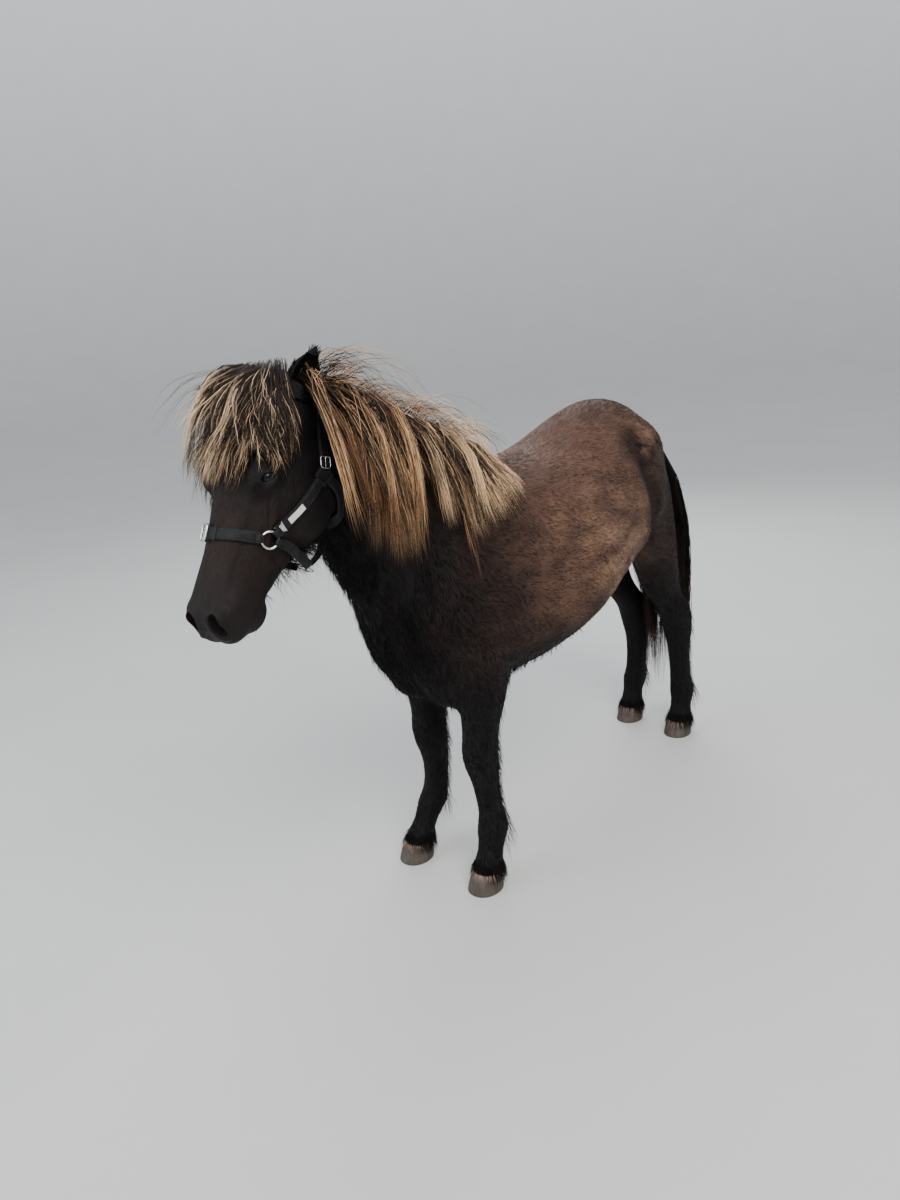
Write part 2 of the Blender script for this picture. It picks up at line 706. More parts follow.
def beside(points, path, width):
    """1 on the path, fading with the distance from it."""
    path = np.array(path, float)
    best = np.full(len(points), 1e9)
    for start, end in zip(path, path[1:]):
        way = end - start
        t = np.clip(((points - start) @ way) / (way @ way), 0.0, 1.0)
        best = np.minimum(best, ((points - start - t[:, None] * way) ** 2).sum(axis=1))
    return np.exp(-best / width**2)


def nostril_axes(tree, side):
    """Where the nostril opens on the skin, its long way, its short way and its way out."""
    place, out, _, _ = tree.find_nearest(HEAD_PLACE @ sided(NOSTRIL_AT, side))
    along = HEAD_TURN @ sided(NOSTRIL_LONG, side)
    along = (along - out * along.dot(out)).normalized()
    return place, along, out.cross(along).normalized(), out


def nostril_rim(tree, side):
    """The raised edge of the nostril, as a closed course on the skin."""
    place, along, across, _ = nostril_axes(tree, side)
    course = []
    for k in range(17):
        angle = 2 * math.pi * k / 16
        ahead, aside = NOSTRIL_RIM[0] * math.cos(angle), NOSTRIL_RIM[1] * math.sin(angle)
        spot = place + along * ahead + across * aside
        course.append(tuple(tree.find_nearest(spot)[0]))
    return course


def sculpted(obj):
    """Folds, grooves and ridges, pressed into the skin or raised from it."""
    points, normals = points_of(obj), normals_of(obj)
    local = to_head(points)
    on_head = ramp(local[:, 0], -0.06, 0.0) * (points[:, 0] > HEAD_FROM)
    moved = np.zeros(len(points))
    tree = BVHTree.FromObject(obj, bpy.context.evaluated_depsgraph_get())
    for side in (1, -1):
        for path, width, amount in HEAD_STROKES:
            moved += beside(mirrored(local, side), path, width) * amount * on_head
        moved += beside(points, nostril_rim(tree, side), 0.0058) * 0.0036 * on_head
        for path, width, amount in BODY_STROKES:
            moved += beside(mirrored(points, side), path, width) * amount * (1 - on_head)
    moved -= COAT_DEPTH * (1 - 0.5 * on_head)
    set_points(obj, points + normals * moved[:, None])


def mouth_cutter():
    """A thin curved wedge that parts the lips."""
    rings = []
    rise = HEAD_TURN @ Vector((0, 0, 1)) * MOUTH_OPEN
    for k in range(33):
        turn = math.radians(-90 + 180 * k / 32)
        along = MOUTH_MIDDLE + MOUTH_REACH * math.cos(turn)
        level = MOUTH_LEVEL - MOUTH_SAG * abs(math.sin(turn))
        centre = HEAD_PLACE @ Vector((along, MOUTH_WIDTH * math.sin(turn), level))
        out = HEAD_TURN @ Vector((math.cos(turn), math.sin(turn), 0)) * MOUTH_DEEP
        rings.append([centre + out, centre + rise, centre - out, centre - rise])
    return loft("mouth", rings)


def face_opened(body):
    """Opens the eyes, nostrils and mouth."""
    tree = BVHTree.FromObject(body, bpy.context.evaluated_depsgraph_get())
    tools = []
    for side in (1, -1):
        centre = sided(EYE_AT, side)
        socket = EYE_RADIUS + 0.0003
        tools.append(blob("socket", centre, (socket,) * 3, (0, 0, 0), HEAD_PLACE))
        opening = centre + sided(EYE_OUT, side)
        tools.append(blob("lids", opening, LID_OPENING, (0, EYE_TILT, 0), HEAD_PLACE))
        place, along, across, out = nostril_axes(tree, side)
        turn = Matrix((along, across, out)).transposed().to_4x4()
        for ahead, aside, sizes in NOSTRIL_HOLES:
            spot = place + along * ahead + across * (aside * side) - out * 0.002
            tools.append(blob("nostril", (0, 0, 0), sizes, (0, 0, 0), Matrix.Translation(spot) @ turn))
    tools.append(mouth_cutter())
    combine(body, tools)


def ear_axes(side):
    base, tip = HEAD_PLACE @ sided(EAR_BASE, side), HEAD_PLACE @ sided(EAR_TIPS[side], side)
    axis = (tip - base).normalized()
    out = (HEAD_TURN @ sided(EAR_OUT, side)).normalized()
    out = (out - axis * out.dot(axis)).normalized()
    return base, axis, out, axis.cross(out).normalized(), (tip - base).length


def ear(side):
    """A bowed, hollow ear."""
    base, axis, out, across, length = ear_axes(side)
    rings = []
    for along, width, depth in smooth_rows(EAR, 6):
        centre = base + axis * (length * along) - out * (EAR_BOW * math.sin(math.pi * along))
        rings.append(ring(centre, across, out, width - 0.0008, depth * 0.8, depth - 0.0008, 2.0, 36))
    shell = loft("ear", rings)
    rings = []
    for along, width, depth in smooth_rows(EAR[1:4], 8):
        rise = depth * 0.80 - EAR_BOW * math.sin(math.pi * along)
        centre = base + axis * (length * (along * 1.03 + 0.01)) + out * rise
        rings.append(ring(centre, across, out, width * 0.78, depth * 0.8, depth * 1.30, 2.0, 32))
    return combine(shell, [loft("cup", rings)])


def eye_axes(side):
    """The eye's middle, its way out, its long way towards the muzzle, and its way up."""
    centre = HEAD_PLACE @ sided(EYE_AT, side)
    out = (HEAD_TURN @ sided(EYE_OUT, side)).normalized()
    along = HEAD_TURN @ (Matrix.Rotation(math.radians(EYE_TILT), 3, "Y") @ Vector((1, 0, 0)))
    along = (along - out * along.dot(out)).normalized()
    up = out.cross(along) * -side
    return centre, out, along, up.normalized()


def lid(side, scale, start, end, depth, thick):
    """A fold of skin that runs round the eye's opening, from one angle to another."""
    centre, out, along, up = eye_axes(side)
    closed = end - start >= 359
    count = 48
    rings = []
    for k in range(count if closed else count + 1):
        t = k / count
        angle = math.radians(start + (end - start) * t)
        p = LID_LONG * scale * math.cos(angle)
        q = LID_HIGH * scale * powered(math.sin(angle), 1.1)
        rise = math.sqrt(max((EYE_RADIUS + depth) ** 2 - p**2 - q**2, 1e-8))
        way = out * rise + along * p + up * q
        place = centre + way
        run = (along * -math.sin(angle) * LID_LONG + up * math.cos(angle) * LID_HIGH).normalized()
        way = way.normalized()
        flank = run.cross(way).normalized()
        size = thick if closed else thick * (0.25 + 0.75 * math.sin(math.pi * t))
        angles = (2 * math.pi * j / 10 for j in range(10))
        rings.append(
            [place + way * (size * math.sin(a)) + flank * (size * 1.5 * math.cos(a)) for a in angles]
        )
    return loft("lid", rings, closed)


def finer_head(obj):
    """Halves the edges of the head, where the detail is small."""
    shape = bmesh.new()
    shape.from_mesh(obj.data)
    back = HEAD_PLACE.inverted()
    on_face = [v.co.x > FACE_FROM and (back @ v.co).x > 0.02 for v in shape.verts]
    chosen = [e for e in shape.edges if all(on_face[v.index] for v in e.verts)]
    bmesh.ops.subdivide_edges(shape, edges=chosen, cuts=1, use_grid_fill=True)
    shape.to_mesh(obj.data)
    shape.free()


def thinned(obj, faces):
    """Reduced to about this many triangles, with most left on the head."""
    points = points_of(obj)
    group = obj.vertex_groups.new(name="broad")
    face = ramp(to_head(points)[:, 0], 0.0, 0.06) * (points[:, 0] > FACE_FROM)
    for index, weight in enumerate(np.clip(1.0 - face, 0.02, 1.0)):
        group.add([index], float(weight), "REPLACE")
    obj.data.calc_loop_triangles()
    reduce = obj.modifiers.new("thin", "DECIMATE")
    reduce.ratio = min(1.0, faces / len(obj.data.loop_triangles))
    reduce.vertex_group = "broad"
    reduce.vertex_group_factor = 0.2
    reduce.use_collapse_triangulate = True
    apply_modifiers(obj)
    obj.vertex_groups.clear()


def made_skin():
    """Trunk, neck, head and legs fused, smoothed, sculpted, thinned, and given ears and openings."""
    body = join("skin", flesh())
    remesh = body.modifiers.new("fuse", "REMESH")
    remesh.mode = "VOXEL"
    remesh.voxel_size = BODY_VOXEL
    apply_modifiers(body)
    points = points_of(body)
    relaxed(body, np.ones(len(points)), 0.5, 6)
    points = points_of(body)
    head = np.clip((to_head(points)[:, 0] + 0.06) / 0.08, 0, 1) * (points[:, 0] > HEAD_FROM)
    foot = np.clip((0.52 - points[:, 2]) / 0.12, 0, 1)
    relaxed(body, 1.0 - np.maximum(head, foot) * 0.93, 0.6, 60)
    finer_head(body)
    points = points_of(body)
    relaxed(body, ramp(to_head(points)[:, 0], 0.02, 0.06) * (points[:, 0] > FACE_FROM), 0.5, 2)
    sculpted(body)
    thinned(body, SKIN_FACES)
    combine(body, [ear(1), ear(-1)], "UNION")
    face_opened(body)
    points = points_of(body)
    local = to_head(points)
    soft = np.zeros(len(points))
    for side in (1, -1):
        here = mirrored(local, side)
        soft += near(here, NOSTRIL_AT, (0.035, 0.03, 0.030)) + near(here, EAR_BASE, (0.03, 0.03, 0.03))
        soft += near(here, (0.37, 0.03, -0.055), (0.07, 0.06, 0.012)) * 0.6
    relaxed(body, np.clip(soft, 0, 1), 0.5, 2)
    return body


class Surface:
    """The skin, for laying hair and webbing on it."""

    def __init__(self, obj):
        mesh = obj.data
        mesh.calc_loop_triangles()
        loops = read(mesh.loop_triangles, "loops", 3, np.int32)
        self.points = points_of(obj)
        self.corners = read(mesh.loop_triangles, "vertices", 3, np.int32)
        self.tree = BVHTree.FromPolygons(self.points.tolist(), self.corners.tolist())
        self.maps = read(mesh.uv_layers[MAP_NAME].data, "uv", 2, np.float32)[loops]
        a, b, c = (self.points[self.corners[:, k]] for k in range(3))
        turn = np.cross(b - a, c - a)
        self.areas = np.linalg.norm(turn, axis=1) / 2
        self.facing = turn / np.maximum(self.areas * 2, 1e-12)[:, None]
        self.middles = (a + b + c) / 3

    def out(self, point, clear):
        """The point, moved out where it lies nearer to the skin than this."""
        near_by, normal, _, _ = self.tree.find_nearest(point)
        height = (point - near_by).dot(normal)
        if height < clear:
            point = near_by + normal * clear
        return point, normal

    def map_at(self, point):
        _, _, index, _ = self.tree.find_nearest(Vector(point))
        return self.maps[index].mean(axis=0)

    def lie(self, root, heading, length, pieces, clear, fall=0.55, drift=Vector((0, 0, 0))):
        """A path from the root that starts along heading and falls over the skin."""
        step = length / pieces
        point, way = root.copy(), heading.normalized()
        path, normals = [point.copy()], []
        _, normal = self.out(point, clear)
        normals.append(normal.copy())
        for k in range(pieces):
            pull = 1 - (1 - min(0.98, fall * (0.5 + k / pieces))) ** (6 / pieces)
            way = (way * (1 - pull) + (GRAVITY + drift) * pull).normalized()
            point = point + way * step
            moved, normal = self.out(point, clear)
            way = (way + (moved - point) / step * 0.8).normalized()
            point = moved
            path.append(point.copy())
            normals.append(normal.copy())
        return np.array(path), np.array(normals)

    def scattered(self, count, density, rng):
        """Roots spread over the skin by area and density: places, normals, places on the map."""
        weight = self.areas * density(self.middles, self.facing)
        chosen = rng.choice(len(weight), size=count, p=weight / weight.sum())
        mix = rng.random((count, 2))
        flip = mix.sum(axis=1) > 1
        mix[flip] = 1 - mix[flip]
        share = np.column_stack([1 - mix.sum(axis=1), mix])
        places = (self.points[self.corners[chosen]] * share[:, :, None]).sum(axis=1)
        maps = (self.maps[chosen] * share[:, :, None]).sum(axis=1)
        return places, self.facing[chosen], maps


def unit(rows):
    return rows / np.maximum(np.linalg.norm(rows, axis=-1, keepdims=True), 1e-9)


def strands(name, paths, ups, widths, profile, colours, maps, flat=0.45):
    """Tapered solid blades along the paths: three sides, closed at the root, a point at the tip."""
    count, rows = paths.shape[:2]
    ahead = unit(np.gradient(paths, axis=1))
    side = unit(np.cross(ahead, ups))
    up = np.cross(side, ahead)
    half = widths[:, None, None] * 0.5 * np.array(profile)[None, :, None]
    body = np.stack([paths - side * half, paths + up * half * 2 * flat, paths + side * half], axis=2)[:, :-1]
    points = np.concatenate([body.reshape(count, -1, 3), paths[:, -1:]], axis=1)
    each = points.shape[1]
    pattern = [(0, 1, 2)]
    for k in range(rows - 2):
        for a, b in ((0, 1), (1, 2), (2, 0)):
            low, high = 3 * k, 3 * k + 3
            pattern += [(low + b, low + a, high + a), (low + b, high + a, high + b)]
    last = 3 * (rows - 2)
    pattern += [(last + b, last + a, each - 1) for a, b in ((0, 1), (1, 2), (2, 0))]
    faces = (np.array(pattern)[None] + (np.arange(count) * each)[:, None, None]).reshape(-1, 3)
    mesh = bpy.data.meshes.new(name)
    mesh.from_pydata(points.reshape(-1, 3).tolist(), [], faces.tolist())
    tint = np.repeat(colours[:, :-1], 3, axis=1)
    tint = np.concatenate([tint, colours[:, -1:]], axis=1).reshape(-1, 3)
    painted(mesh, tint)
    t = np.linspace(-0.5, 0.5, rows)
    patch = [(across * MAP_PATCH, t[k] * MAP_PATCH) for k in range(rows - 1) for across in (-0.5, 0.0, 0.5)]
    patch.append((0.0, 0.5 * MAP_PATCH))
    spots = (maps[:, None] + np.array(patch)[None]).reshape(-1, 2)
    layer = mesh.uv_layers.new(name=MAP_NAME)
    layer.data.foreach_set("uv", spots[faces.ravel()].astype(np.float32).ravel())
    mesh.shade_smooth()
    return linked(name, mesh)


def painted(mesh, tint):
    layer = mesh.color_attributes.new("coat", "FLOAT_COLOR", "POINT")
    full = np.ones((len(tint), 4), dtype=np.float32)
    full[:, :3] = tint
    layer.data.foreach_set("color", full.ravel())


def wander(points, scale, seed):
    """Smooth noise, one value a point."""
    shift = Vector((seed * 3.7, seed * 1.3, seed * 7.1))
    return np.array([noise.noise(Vector(p) * scale + shift) for p in points])


def coat_colour(points):
    """The markings: near black, warm brown on the barrel and rump, pale brushed dapples in the flank."""
    x, z = points[:, 0], points[:, 2]
    front = x > HEAD_FROM
    local = to_head(points)
    head = ramp(local[:, 0], -0.08, 0.02) * front
    streaks = points * np.array((0.45, 1.0, 0.8))
    broad, small, fine = wander(points, 9.0, 1), wander(streaks, 34.0, 2), wander(streaks, 90.0, 3)
    barrel = ramp(x + broad * 0.05, -0.17, -0.05) * (1 - ramp(x + broad * 0.06, 0.22, 0.42))
    barrel *= ramp(z + broad * 0.04 + 0.10 * x, 0.55, 0.68)
    croup = ramp(-x, 0.04, 0.16) * ramp(z + broad * 0.04, 0.83, 0.96)
    loin = ramp(x + broad * 0.05, -0.30, -0.10) * (1 - ramp(x, 0.16, 0.34)) * ramp(z, 0.80, 0.92)
    brown = np.maximum(np.maximum(barrel, croup * 0.80), loin * 0.85)
    brown = np.clip(brown * (0.85 + 0.5 * broad + 0.35 * small), 0, 1)
    umber = ramp(z + broad * 0.05, 0.46, 0.62) * (1 - ramp(x + broad * 0.08, 0.42, 0.60)) * (1 - head)
    umber *= 0.80 + 0.5 * small
    quarter = ramp(-x, 0.08, 0.17) * (1 - ramp(z + broad * 0.06, 0.84, 0.99))
    brown *= 1 - 0.72 * quarter
    umber *= 1 - 0.25 * quarter
    bridge = 0.60 * near(local, (0.26, 0.0, 0.0), (0.10, 0.09, 0.08)) * front
    umber = np.clip(np.maximum(umber, bridge), 0, 1)
    low = bell(z, 0.62, 0.10) * bell(x, -0.01, 0.13)
    mid = bell(z, 0.76, 0.08) * bell(x, 0.10, 0.17) * 0.6
    hip = bell(x, -0.20, 0.06) * bell(z, 0.90, 0.05) * ramp(np.abs(points[:, 1]), 0.05, 0.09) * 0.8
    gold = np.clip((low + mid + hip) * (0.62 + 1.35 * small + 0.9 * fine + 0.4 * broad), 0, 1)
    muzzle = near(local, (0.385, 0.0, -0.02), (0.045, 0.09, 0.07)) * front
    mottled = 1 + 0.35 * fine + 0.9 * head * (broad * 0.6 + small)
    colour = np.array(BLACK)[None] * np.clip(mottled, 0.3, 2.5)[:, None]
    for share, tint in ((umber * 0.85, UMBER), (brown, BROWN), (gold * 0.85, GOLD), (muzzle * 0.6, MUZZLE)):
        colour = mixed(colour, tint, share[:, None])
    for side in (1, -1):
        fold = beside(mirrored(points, side), BODY_STROKES[0][0], 0.034)
        hollow = beside(mirrored(local, side), HEAD_STROKES[4][0], 0.013) * front
        colour = colour * (1 - 0.50 * fold[:, None])
        colour = colour * (1 - 0.35 * hollow[:, None])
        bare = near(local, sided(EYE_AT + LID_SKIN_AT, side), (0.017, 0.012, 0.011)) * front
        colour = mixed(colour, LID_SKIN, np.clip(bare * 1.3, 0, 1)[:, None])
        socket = near(local, sided(EYE_AT + SOCKET_AT, side), (0.026, 0.020, 0.016)) * front
        inner = near(local, sided(NOSTRIL_AT, side), (0.024, 0.018, 0.014)) * front
        colour = colour * (1 - socket[:, None] * 0.45)
        colour = colour * (1 - inner[:, None] * 0.88)
    return np.clip(colour, 0.0010, 1)


def regions(points):
    """Places in the head's frame, and how far each belongs to the head, the legs and the neck."""
    local = to_head(points)
    head = ramp(local[:, 0], -0.06, 0.04) * (points[:, 0] > HEAD_FROM)
    leg = ramp(-points[:, 2], -0.60, -0.46)
    neck = ramp(points[:, 0], 0.34, 0.52)
    return local, head[:, None], leg[:, None], neck[:, None]


def lie_of(points, normals):
    """The way the coat lies at each place, along the skin."""
    local, head, leg, neck = regions(points)
    way = mixed((-1.0, 0.0, -0.45), (-0.55, 0.0, -0.85), neck)
    way = mixed(way, (-0.15, 0.0, -1.0), leg)
    cheek = ramp(-local[:, 2], -0.01, 0.06)[:, None]
    face = mixed((1.0, 0.0, -0.10), (0.35, 0.0, -1.0), cheek)
    way = mixed(way, face @ HEAD_AXES.T, head)
    way = way - normals * (way * normals).sum(axis=1, keepdims=True)
    return unit(way)


def coat_density(points, _):
    """How thick the tufts grow: finest on the face and feet, none in the eyes, nostrils and soles."""
    local = to_head(points)
    head = ramp(local[:, 0], 0.0, 0.06) * (points[:, 0] > HEAD_FROM)
    leg = ramp(-points[:, 2], -0.52, -0.42)
    sole = ramp(points[:, 2], 0.046, 0.056)
    eye = sum(near(local, sided(EYE_AT, s), (0.026, 0.032, 0.020)) for s in (1, -1))
    hole = sum(near(local, sided(NOSTRIL_AT, s), (0.024, 0.022, 0.018)) for s in (1, -1))
    return (1 + 3.0 * head + 0.9 * leg) * sole * np.clip(1 - 1.6 * (eye + hole) * head, 0, 1)


def short_coat(surface):
    """Flat tufts all over, smallest on the face and feet."""
    rng = np.random.default_rng(7)
    ear_lines = [[HEAD_PLACE @ sided(p, s) for p in (EAR_BASE, EAR_TIPS[s])] for s in (1, -1)]
    made = []
    for k in range(TUFT_PIECES):
        places, normals, maps = surface.scattered(TUFTS_EACH, coat_density, rng)
        local = to_head(places)
        head = ramp(local[:, 0], 0.0, 0.08) * (places[:, 0] > HEAD_FROM)
        muzzle = ramp(local[:, 0], 0.28, 0.36) * head
        leg = ramp(-places[:, 2], -0.55, -0.40)
        ears = sum(beside(places, line, 0.03) for line in ear_lines)
        brief = 1 - 0.72 * np.clip(ears * 1.5, 0, 1)
        long = TUFT_LONG * brief * (1 - 0.62 * head - 0.14 * muzzle) * (1 - 0.30 * leg)
        long = long * rng.uniform(0.65, 1.25, TUFTS_EACH)
        wide = TUFT_WIDE * (1 - 0.60 * head - 0.12 * muzzle) * (1 - 0.25 * leg)
        wide = wide * rng.uniform(0.6, 1.3, TUFTS_EACH)
        way = lie_of(places, normals)
        swirl = (wander(places, 12.0, 5) * 0.9 + rng.normal(0, 0.16, TUFTS_EACH))[:, None]
        way = unit(way + np.cross(normals, way) * swirl)
        lift = (rng.uniform(0.04, 0.17, TUFTS_EACH) * (1 - 0.40 * head))[:, None]
        tip = places + way * long[:, None] + normals * lift * (long * 0.85)[:, None]
        paths = np.stack([places - normals * TUFT_SUNK, tip], axis=1)
        calm = (1 - 0.75 * head)[:, None]
        varied = 1 + (rng.uniform(0.60, 1.45, TUFTS_EACH)[:, None] - 1) * calm
        shade = varied * coat_colour(places) * TUFT_LIFT * (1 + 0.20 * head[:, None])
        colours = np.stack([shade * (1 - 0.15 * calm), shade * (1 + 0.25 * calm)], axis=1)
        ups = np.repeat(normals[:, None], 2, axis=1)
        made.append(strands(f"coat_{k}", paths, ups, wide, (1.0, 0.0), colours, maps))
    return made


def strewn(surface, guides, each, spread, clump, width, wave, rng, uneven):
    """Hairs round each guide: drawn together towards its tip, uneven in length, waved, off the skin."""
    paths, ups = [], []
    for path, normals in guides:
        rows = len(path)
        t = np.linspace(0, 1, rows)
        ahead = unit(np.gradient(path, axis=0))
        side = unit(np.cross(ahead, normals))
        up = np.cross(side, ahead)
        for _ in range(each):
            angle, far = rng.uniform(0, 2 * math.pi), math.sqrt(rng.uniform(0, 1)) * spread
            gather = 1 + (clump - 1) * np.sin(math.pi * np.minimum(t * 0.62, 0.5)) + 0.5 * t**3
            reach = 1.0 - uneven * rng.uniform(0, 1) ** 1.6
            phase, beat = rng.uniform(0, 2 * math.pi, 2), rng.uniform(0.6, 1.5, 2)
            sway = wave * t[:, None] * np.column_stack(
                [np.sin(beat[0] * t * 6.0 + phase[0]), np.sin(beat[1] * t * 6.0 + phase[1])]
            )
            ox = far * math.cos(angle) * gather + sway[:, 0]
            oy = far * math.sin(angle) * 0.6 * gather + sway[:, 1] * 0.6
            full = path + side * ox[:, None] + up * oy[:, None]
            rest = t * reach
            paths.append(np.column_stack([np.interp(rest, t, full[:, axis]) for axis in range(3)]))
            ups.append(np.column_stack([np.interp(rest, t, normals[:, axis]) for axis in range(3)]))
    paths, ups = np.array(paths), unit(np.array(ups))
    for i in range(len(paths)):
        for k in range(1, paths.shape[1]):
            paths[i, k], _ = surface.out(Vector(paths[i, k]), HAIR_CLEAR)
    widths = width * rng.uniform(0.6, 1.35, len(paths))
    return paths, ups, widths


def hair_colours(paths, rng, each, dark, mid, tip, end, turn, soft, streak, late):
    """Dark roots that bleach along the hair, most of all in some locks, and redden again at the end."""
    count, rows = paths.shape[:2]
    t = np.linspace(0, 1, rows)[None, :]
    of_lock = np.repeat(rng.normal(0, 0.17, count // each + 1), each)[:count]
    bias = (of_lock + rng.normal(0, 0.12, count))[:, None]
    dull = np.repeat(rng.random(count // each + 1) < (1 - streak), each)[:count]
    dull = dull ^ (rng.random(count) < 0.16)
    bias = bias + dull[:, None] * rng.uniform(0.30, 0.9, count)[:, None]
    warm = ramp(t, turn + bias - soft * 2.2, turn + bias)
    pale = ramp(t, turn + bias - soft, turn + bias + soft)
    last = ramp(t, late + bias * 0.5 - 0.14, late + bias * 0.5 + 0.14)
    colour = mixed(mixed(mixed(dark, mid, warm[..., None]), tip, pale[..., None]), end, last[..., None])
    return colour * rng.uniform(0.65, 1.30, count)[:, None, None]


def crest_point(t):
    """A point on the top of the neck, from the poll at 0 to behind the withers at 1."""
    place = t * (len(CREST) - 1)
    i = min(int(place), len(CREST) - 2)
    f = place - i
    x = CREST[i][0] * (1 - f) + CREST[i + 1][0] * f
    z = CREST[i][1] * (1 - f) + CREST[i + 1][1] * f
    return Vector((x, 0, z))


def crest_rise(t):
    return CREST_RISE * min(1.0, max(0.0, (0.85 - t) / 0.5))


def built(name, surface, groups):
    """One piece of long hair from groups of hairs."""
    paths, ups, widths, colours = (np.concatenate(part) for part in zip(*groups))
    maps = np.array([surface.map_at(p) for p in paths[:, 0]])
    return strands(name, paths, ups, widths, HAIR_PROFILE, colours, maps)


HAIR_PROFILE = (0.75, 1.0, 1.0, 0.95, 0.8, 0.55, 0.0)
HAIR_ROWS = len(HAIR_PROFILE) - 1
HAIR_CLEAR = 0.004


def coloured(surface, rng, guides, each, spread, clump, width, wave, tone, uneven=0.45):
    paths, ups, widths = strewn(surface, guides, each, spread, clump, width, wave, rng, uneven)
    return paths, ups, widths, hair_colours(paths, rng, each, *tone)


def mane_length(t):
    """Long over the neck, shorter behind the parting, then long again over the shoulder."""
    swell = math.sin(math.pi * max(0.0, t - MANE_PARTING) / (1 - MANE_PARTING))
    gap = 1 - 0.60 * math.exp(-(((t - MANE_PARTING - 0.01) / 0.05) ** 2))
    return (MANE_FRONT if t < MANE_PARTING else 0.82 * (MANE_BACK + MANE_WITHERS * swell)) * gap


def mane_guides(surface, count, start, end, rng, wild=1.0, share=1.0, near_skin=0.014, fall=0.60):
    """Locks that leave the crest to the left, fall, and sweep back behind the parting."""
    found = []
    for k in range(count):
        t = start + (end - start) * (k + 0.5 + rng.uniform(-0.5, 0.5)) / count
        back = ramp(t, MANE_PARTING - 0.06, MANE_PARTING + 0.10)
        root = crest_point(0.02 + 0.84 * t) + Vector((0, rng.uniform(-0.012, 0.012), crest_rise(t) - 0.004))
        behind_ear = math.exp(-((t / 0.09) ** 2))
        parted = math.exp(-(((t - MANE_PARTING) / 0.12) ** 2)) * (0.10 if t < MANE_PARTING else -0.12)
        way = 0.05 - 0.17 * back - 0.24 * behind_ear + parted + rng.uniform(-0.13, 0.13) * wild
        drift = Vector((way, 0.06 + rng.uniform(-0.04, 0.06) * wild, 0))
        ahead = 0.05 + rng.uniform(-0.22, 0.18) * wild
        heading = Vector((ahead, 0.80, rng.uniform(0.20, 0.20 + 0.50 * wild)))
        length = mane_length(t) * share * rng.uniform(0.66, 1.06)
        clear = near_skin + rng.uniform(0.0, 0.010)
        found.append(surface.lie(root, heading, length, HAIR_ROWS, clear, fall, drift))
    return found


def mane(surface):
    """Three pieces: the fall before the parting, the one behind it, and the dark hair below both."""
    rng = random.Random(11)
    draw = np.random.default_rng(11)
    front = mane_guides(surface, 46, 0.02, MANE_PARTING, rng)
    back = mane_guides(surface, 54, MANE_PARTING, 1.0, rng)
    stray = mane_guides(surface, 120, 0.0, 1.0, rng, wild=2.2, share=0.8, near_skin=0.020, fall=0.34)
    wisps = [mane_guides(surface, 1, at, at, rng, wild=0.4, share=1.62)[0] for at in (0.60, 0.62, 0.645)]
    under_front = mane_guides(surface, 30, 0.0, MANE_PARTING, rng, share=0.92, near_skin=0.006)
    under_back = mane_guides(surface, 34, MANE_PARTING, 0.98, rng, share=0.85, near_skin=0.006)
    right = []
    for k in range(40):
        t = (k + 0.5 + rng.uniform(-0.4, 0.4)) / 40
        root = crest_point(0.02 + 0.92 * t) + Vector((0, -0.006, 0.000))
        drift = Vector((-0.20 + rng.uniform(-0.1, 0.1), 0, 0))
        heading = Vector((-0.12 + rng.uniform(-0.15, 0.15), -0.85, rng.uniform(0.20, 0.50)))
        right.append(surface.lie(root, heading, rng.uniform(0.12, 0.21), HAIR_ROWS, 0.010, 0.60, drift))
    # Guides, hairs each, spread, clump, width, wave, tone, unevenness
    falls = {
        "mane_front": (
            (front, 90, 0.016, 0.50, 0.0011, 0.007, FRONT_TONE, 0.45),
            (stray[:60], 5, 0.012, 1.1, 0.0009, 0.012, FRONT_TONE, 0.6),
        ),
        "mane_back": (
            (back, 80, 0.016, 0.50, 0.0011, 0.007, BACK_TONE, 0.45),
            (stray[60:], 5, 0.012, 1.1, 0.0009, 0.012, BACK_TONE, 0.6),
            (wisps, 34, 0.009, 0.4, 0.0010, 0.006, FRONT_TONE, 0.3),
        ),
        "mane_under": (
            (under_front, 42, 0.017, 0.6, 0.0016, 0.005, UNDER_TONE, 0.3),
            (under_back, 42, 0.017, 0.6, 0.0016, 0.005, UNDER_TONE, 0.3),
            (right, 32, 0.016, 0.6, 0.0015, 0.005, UNDER_TONE, 0.45),
        ),
    }
    groups = {name: [coloured(surface, draw, *row) for row in rows] for name, rows in falls.items()}
    return [built(name, surface, groups[name]) for name in falls]


def brow_guides(surface, count, rng, wild=1.0, fall=0.50):
    """Hair that stands up between the ears, domes, and falls over the brow, most of it to the right."""
    found = []
    for k in range(count):
        row = k % 5
        spread = -1 + 2 * (k + 0.5 + rng.uniform(-0.5, 0.5)) / count
        root = HEAD_PLACE @ Vector((-0.034 + 0.018 * row, 0.005 + 0.050 * spread, 0.070 - 0.008 * row))
        sideways = (0.55 if spread < 0 else 1.15) * spread + rng.uniform(-0.22, 0.22) * wild
        heading = HEAD_TURN @ Vector((0.70, sideways, 0.66 - 0.13 * row + rng.uniform(-0.1, 0.15) * wild))
        length = FORELOCK_LENGTH * (1.06 - 0.07 * row) * rng.uniform(0.60, 1.06)
        if spread > 0.0:
            length *= 1.0 - 0.26 * spread
        clear = 0.032 - 0.006 * row
        drift = HEAD_TURN @ Vector((0.0, 0.14 * spread if spread < 0 else 0.22 * spread, 0.04))
        found.append(surface.lie(root, heading, length, HAIR_ROWS, clear, fall, drift))
    return found


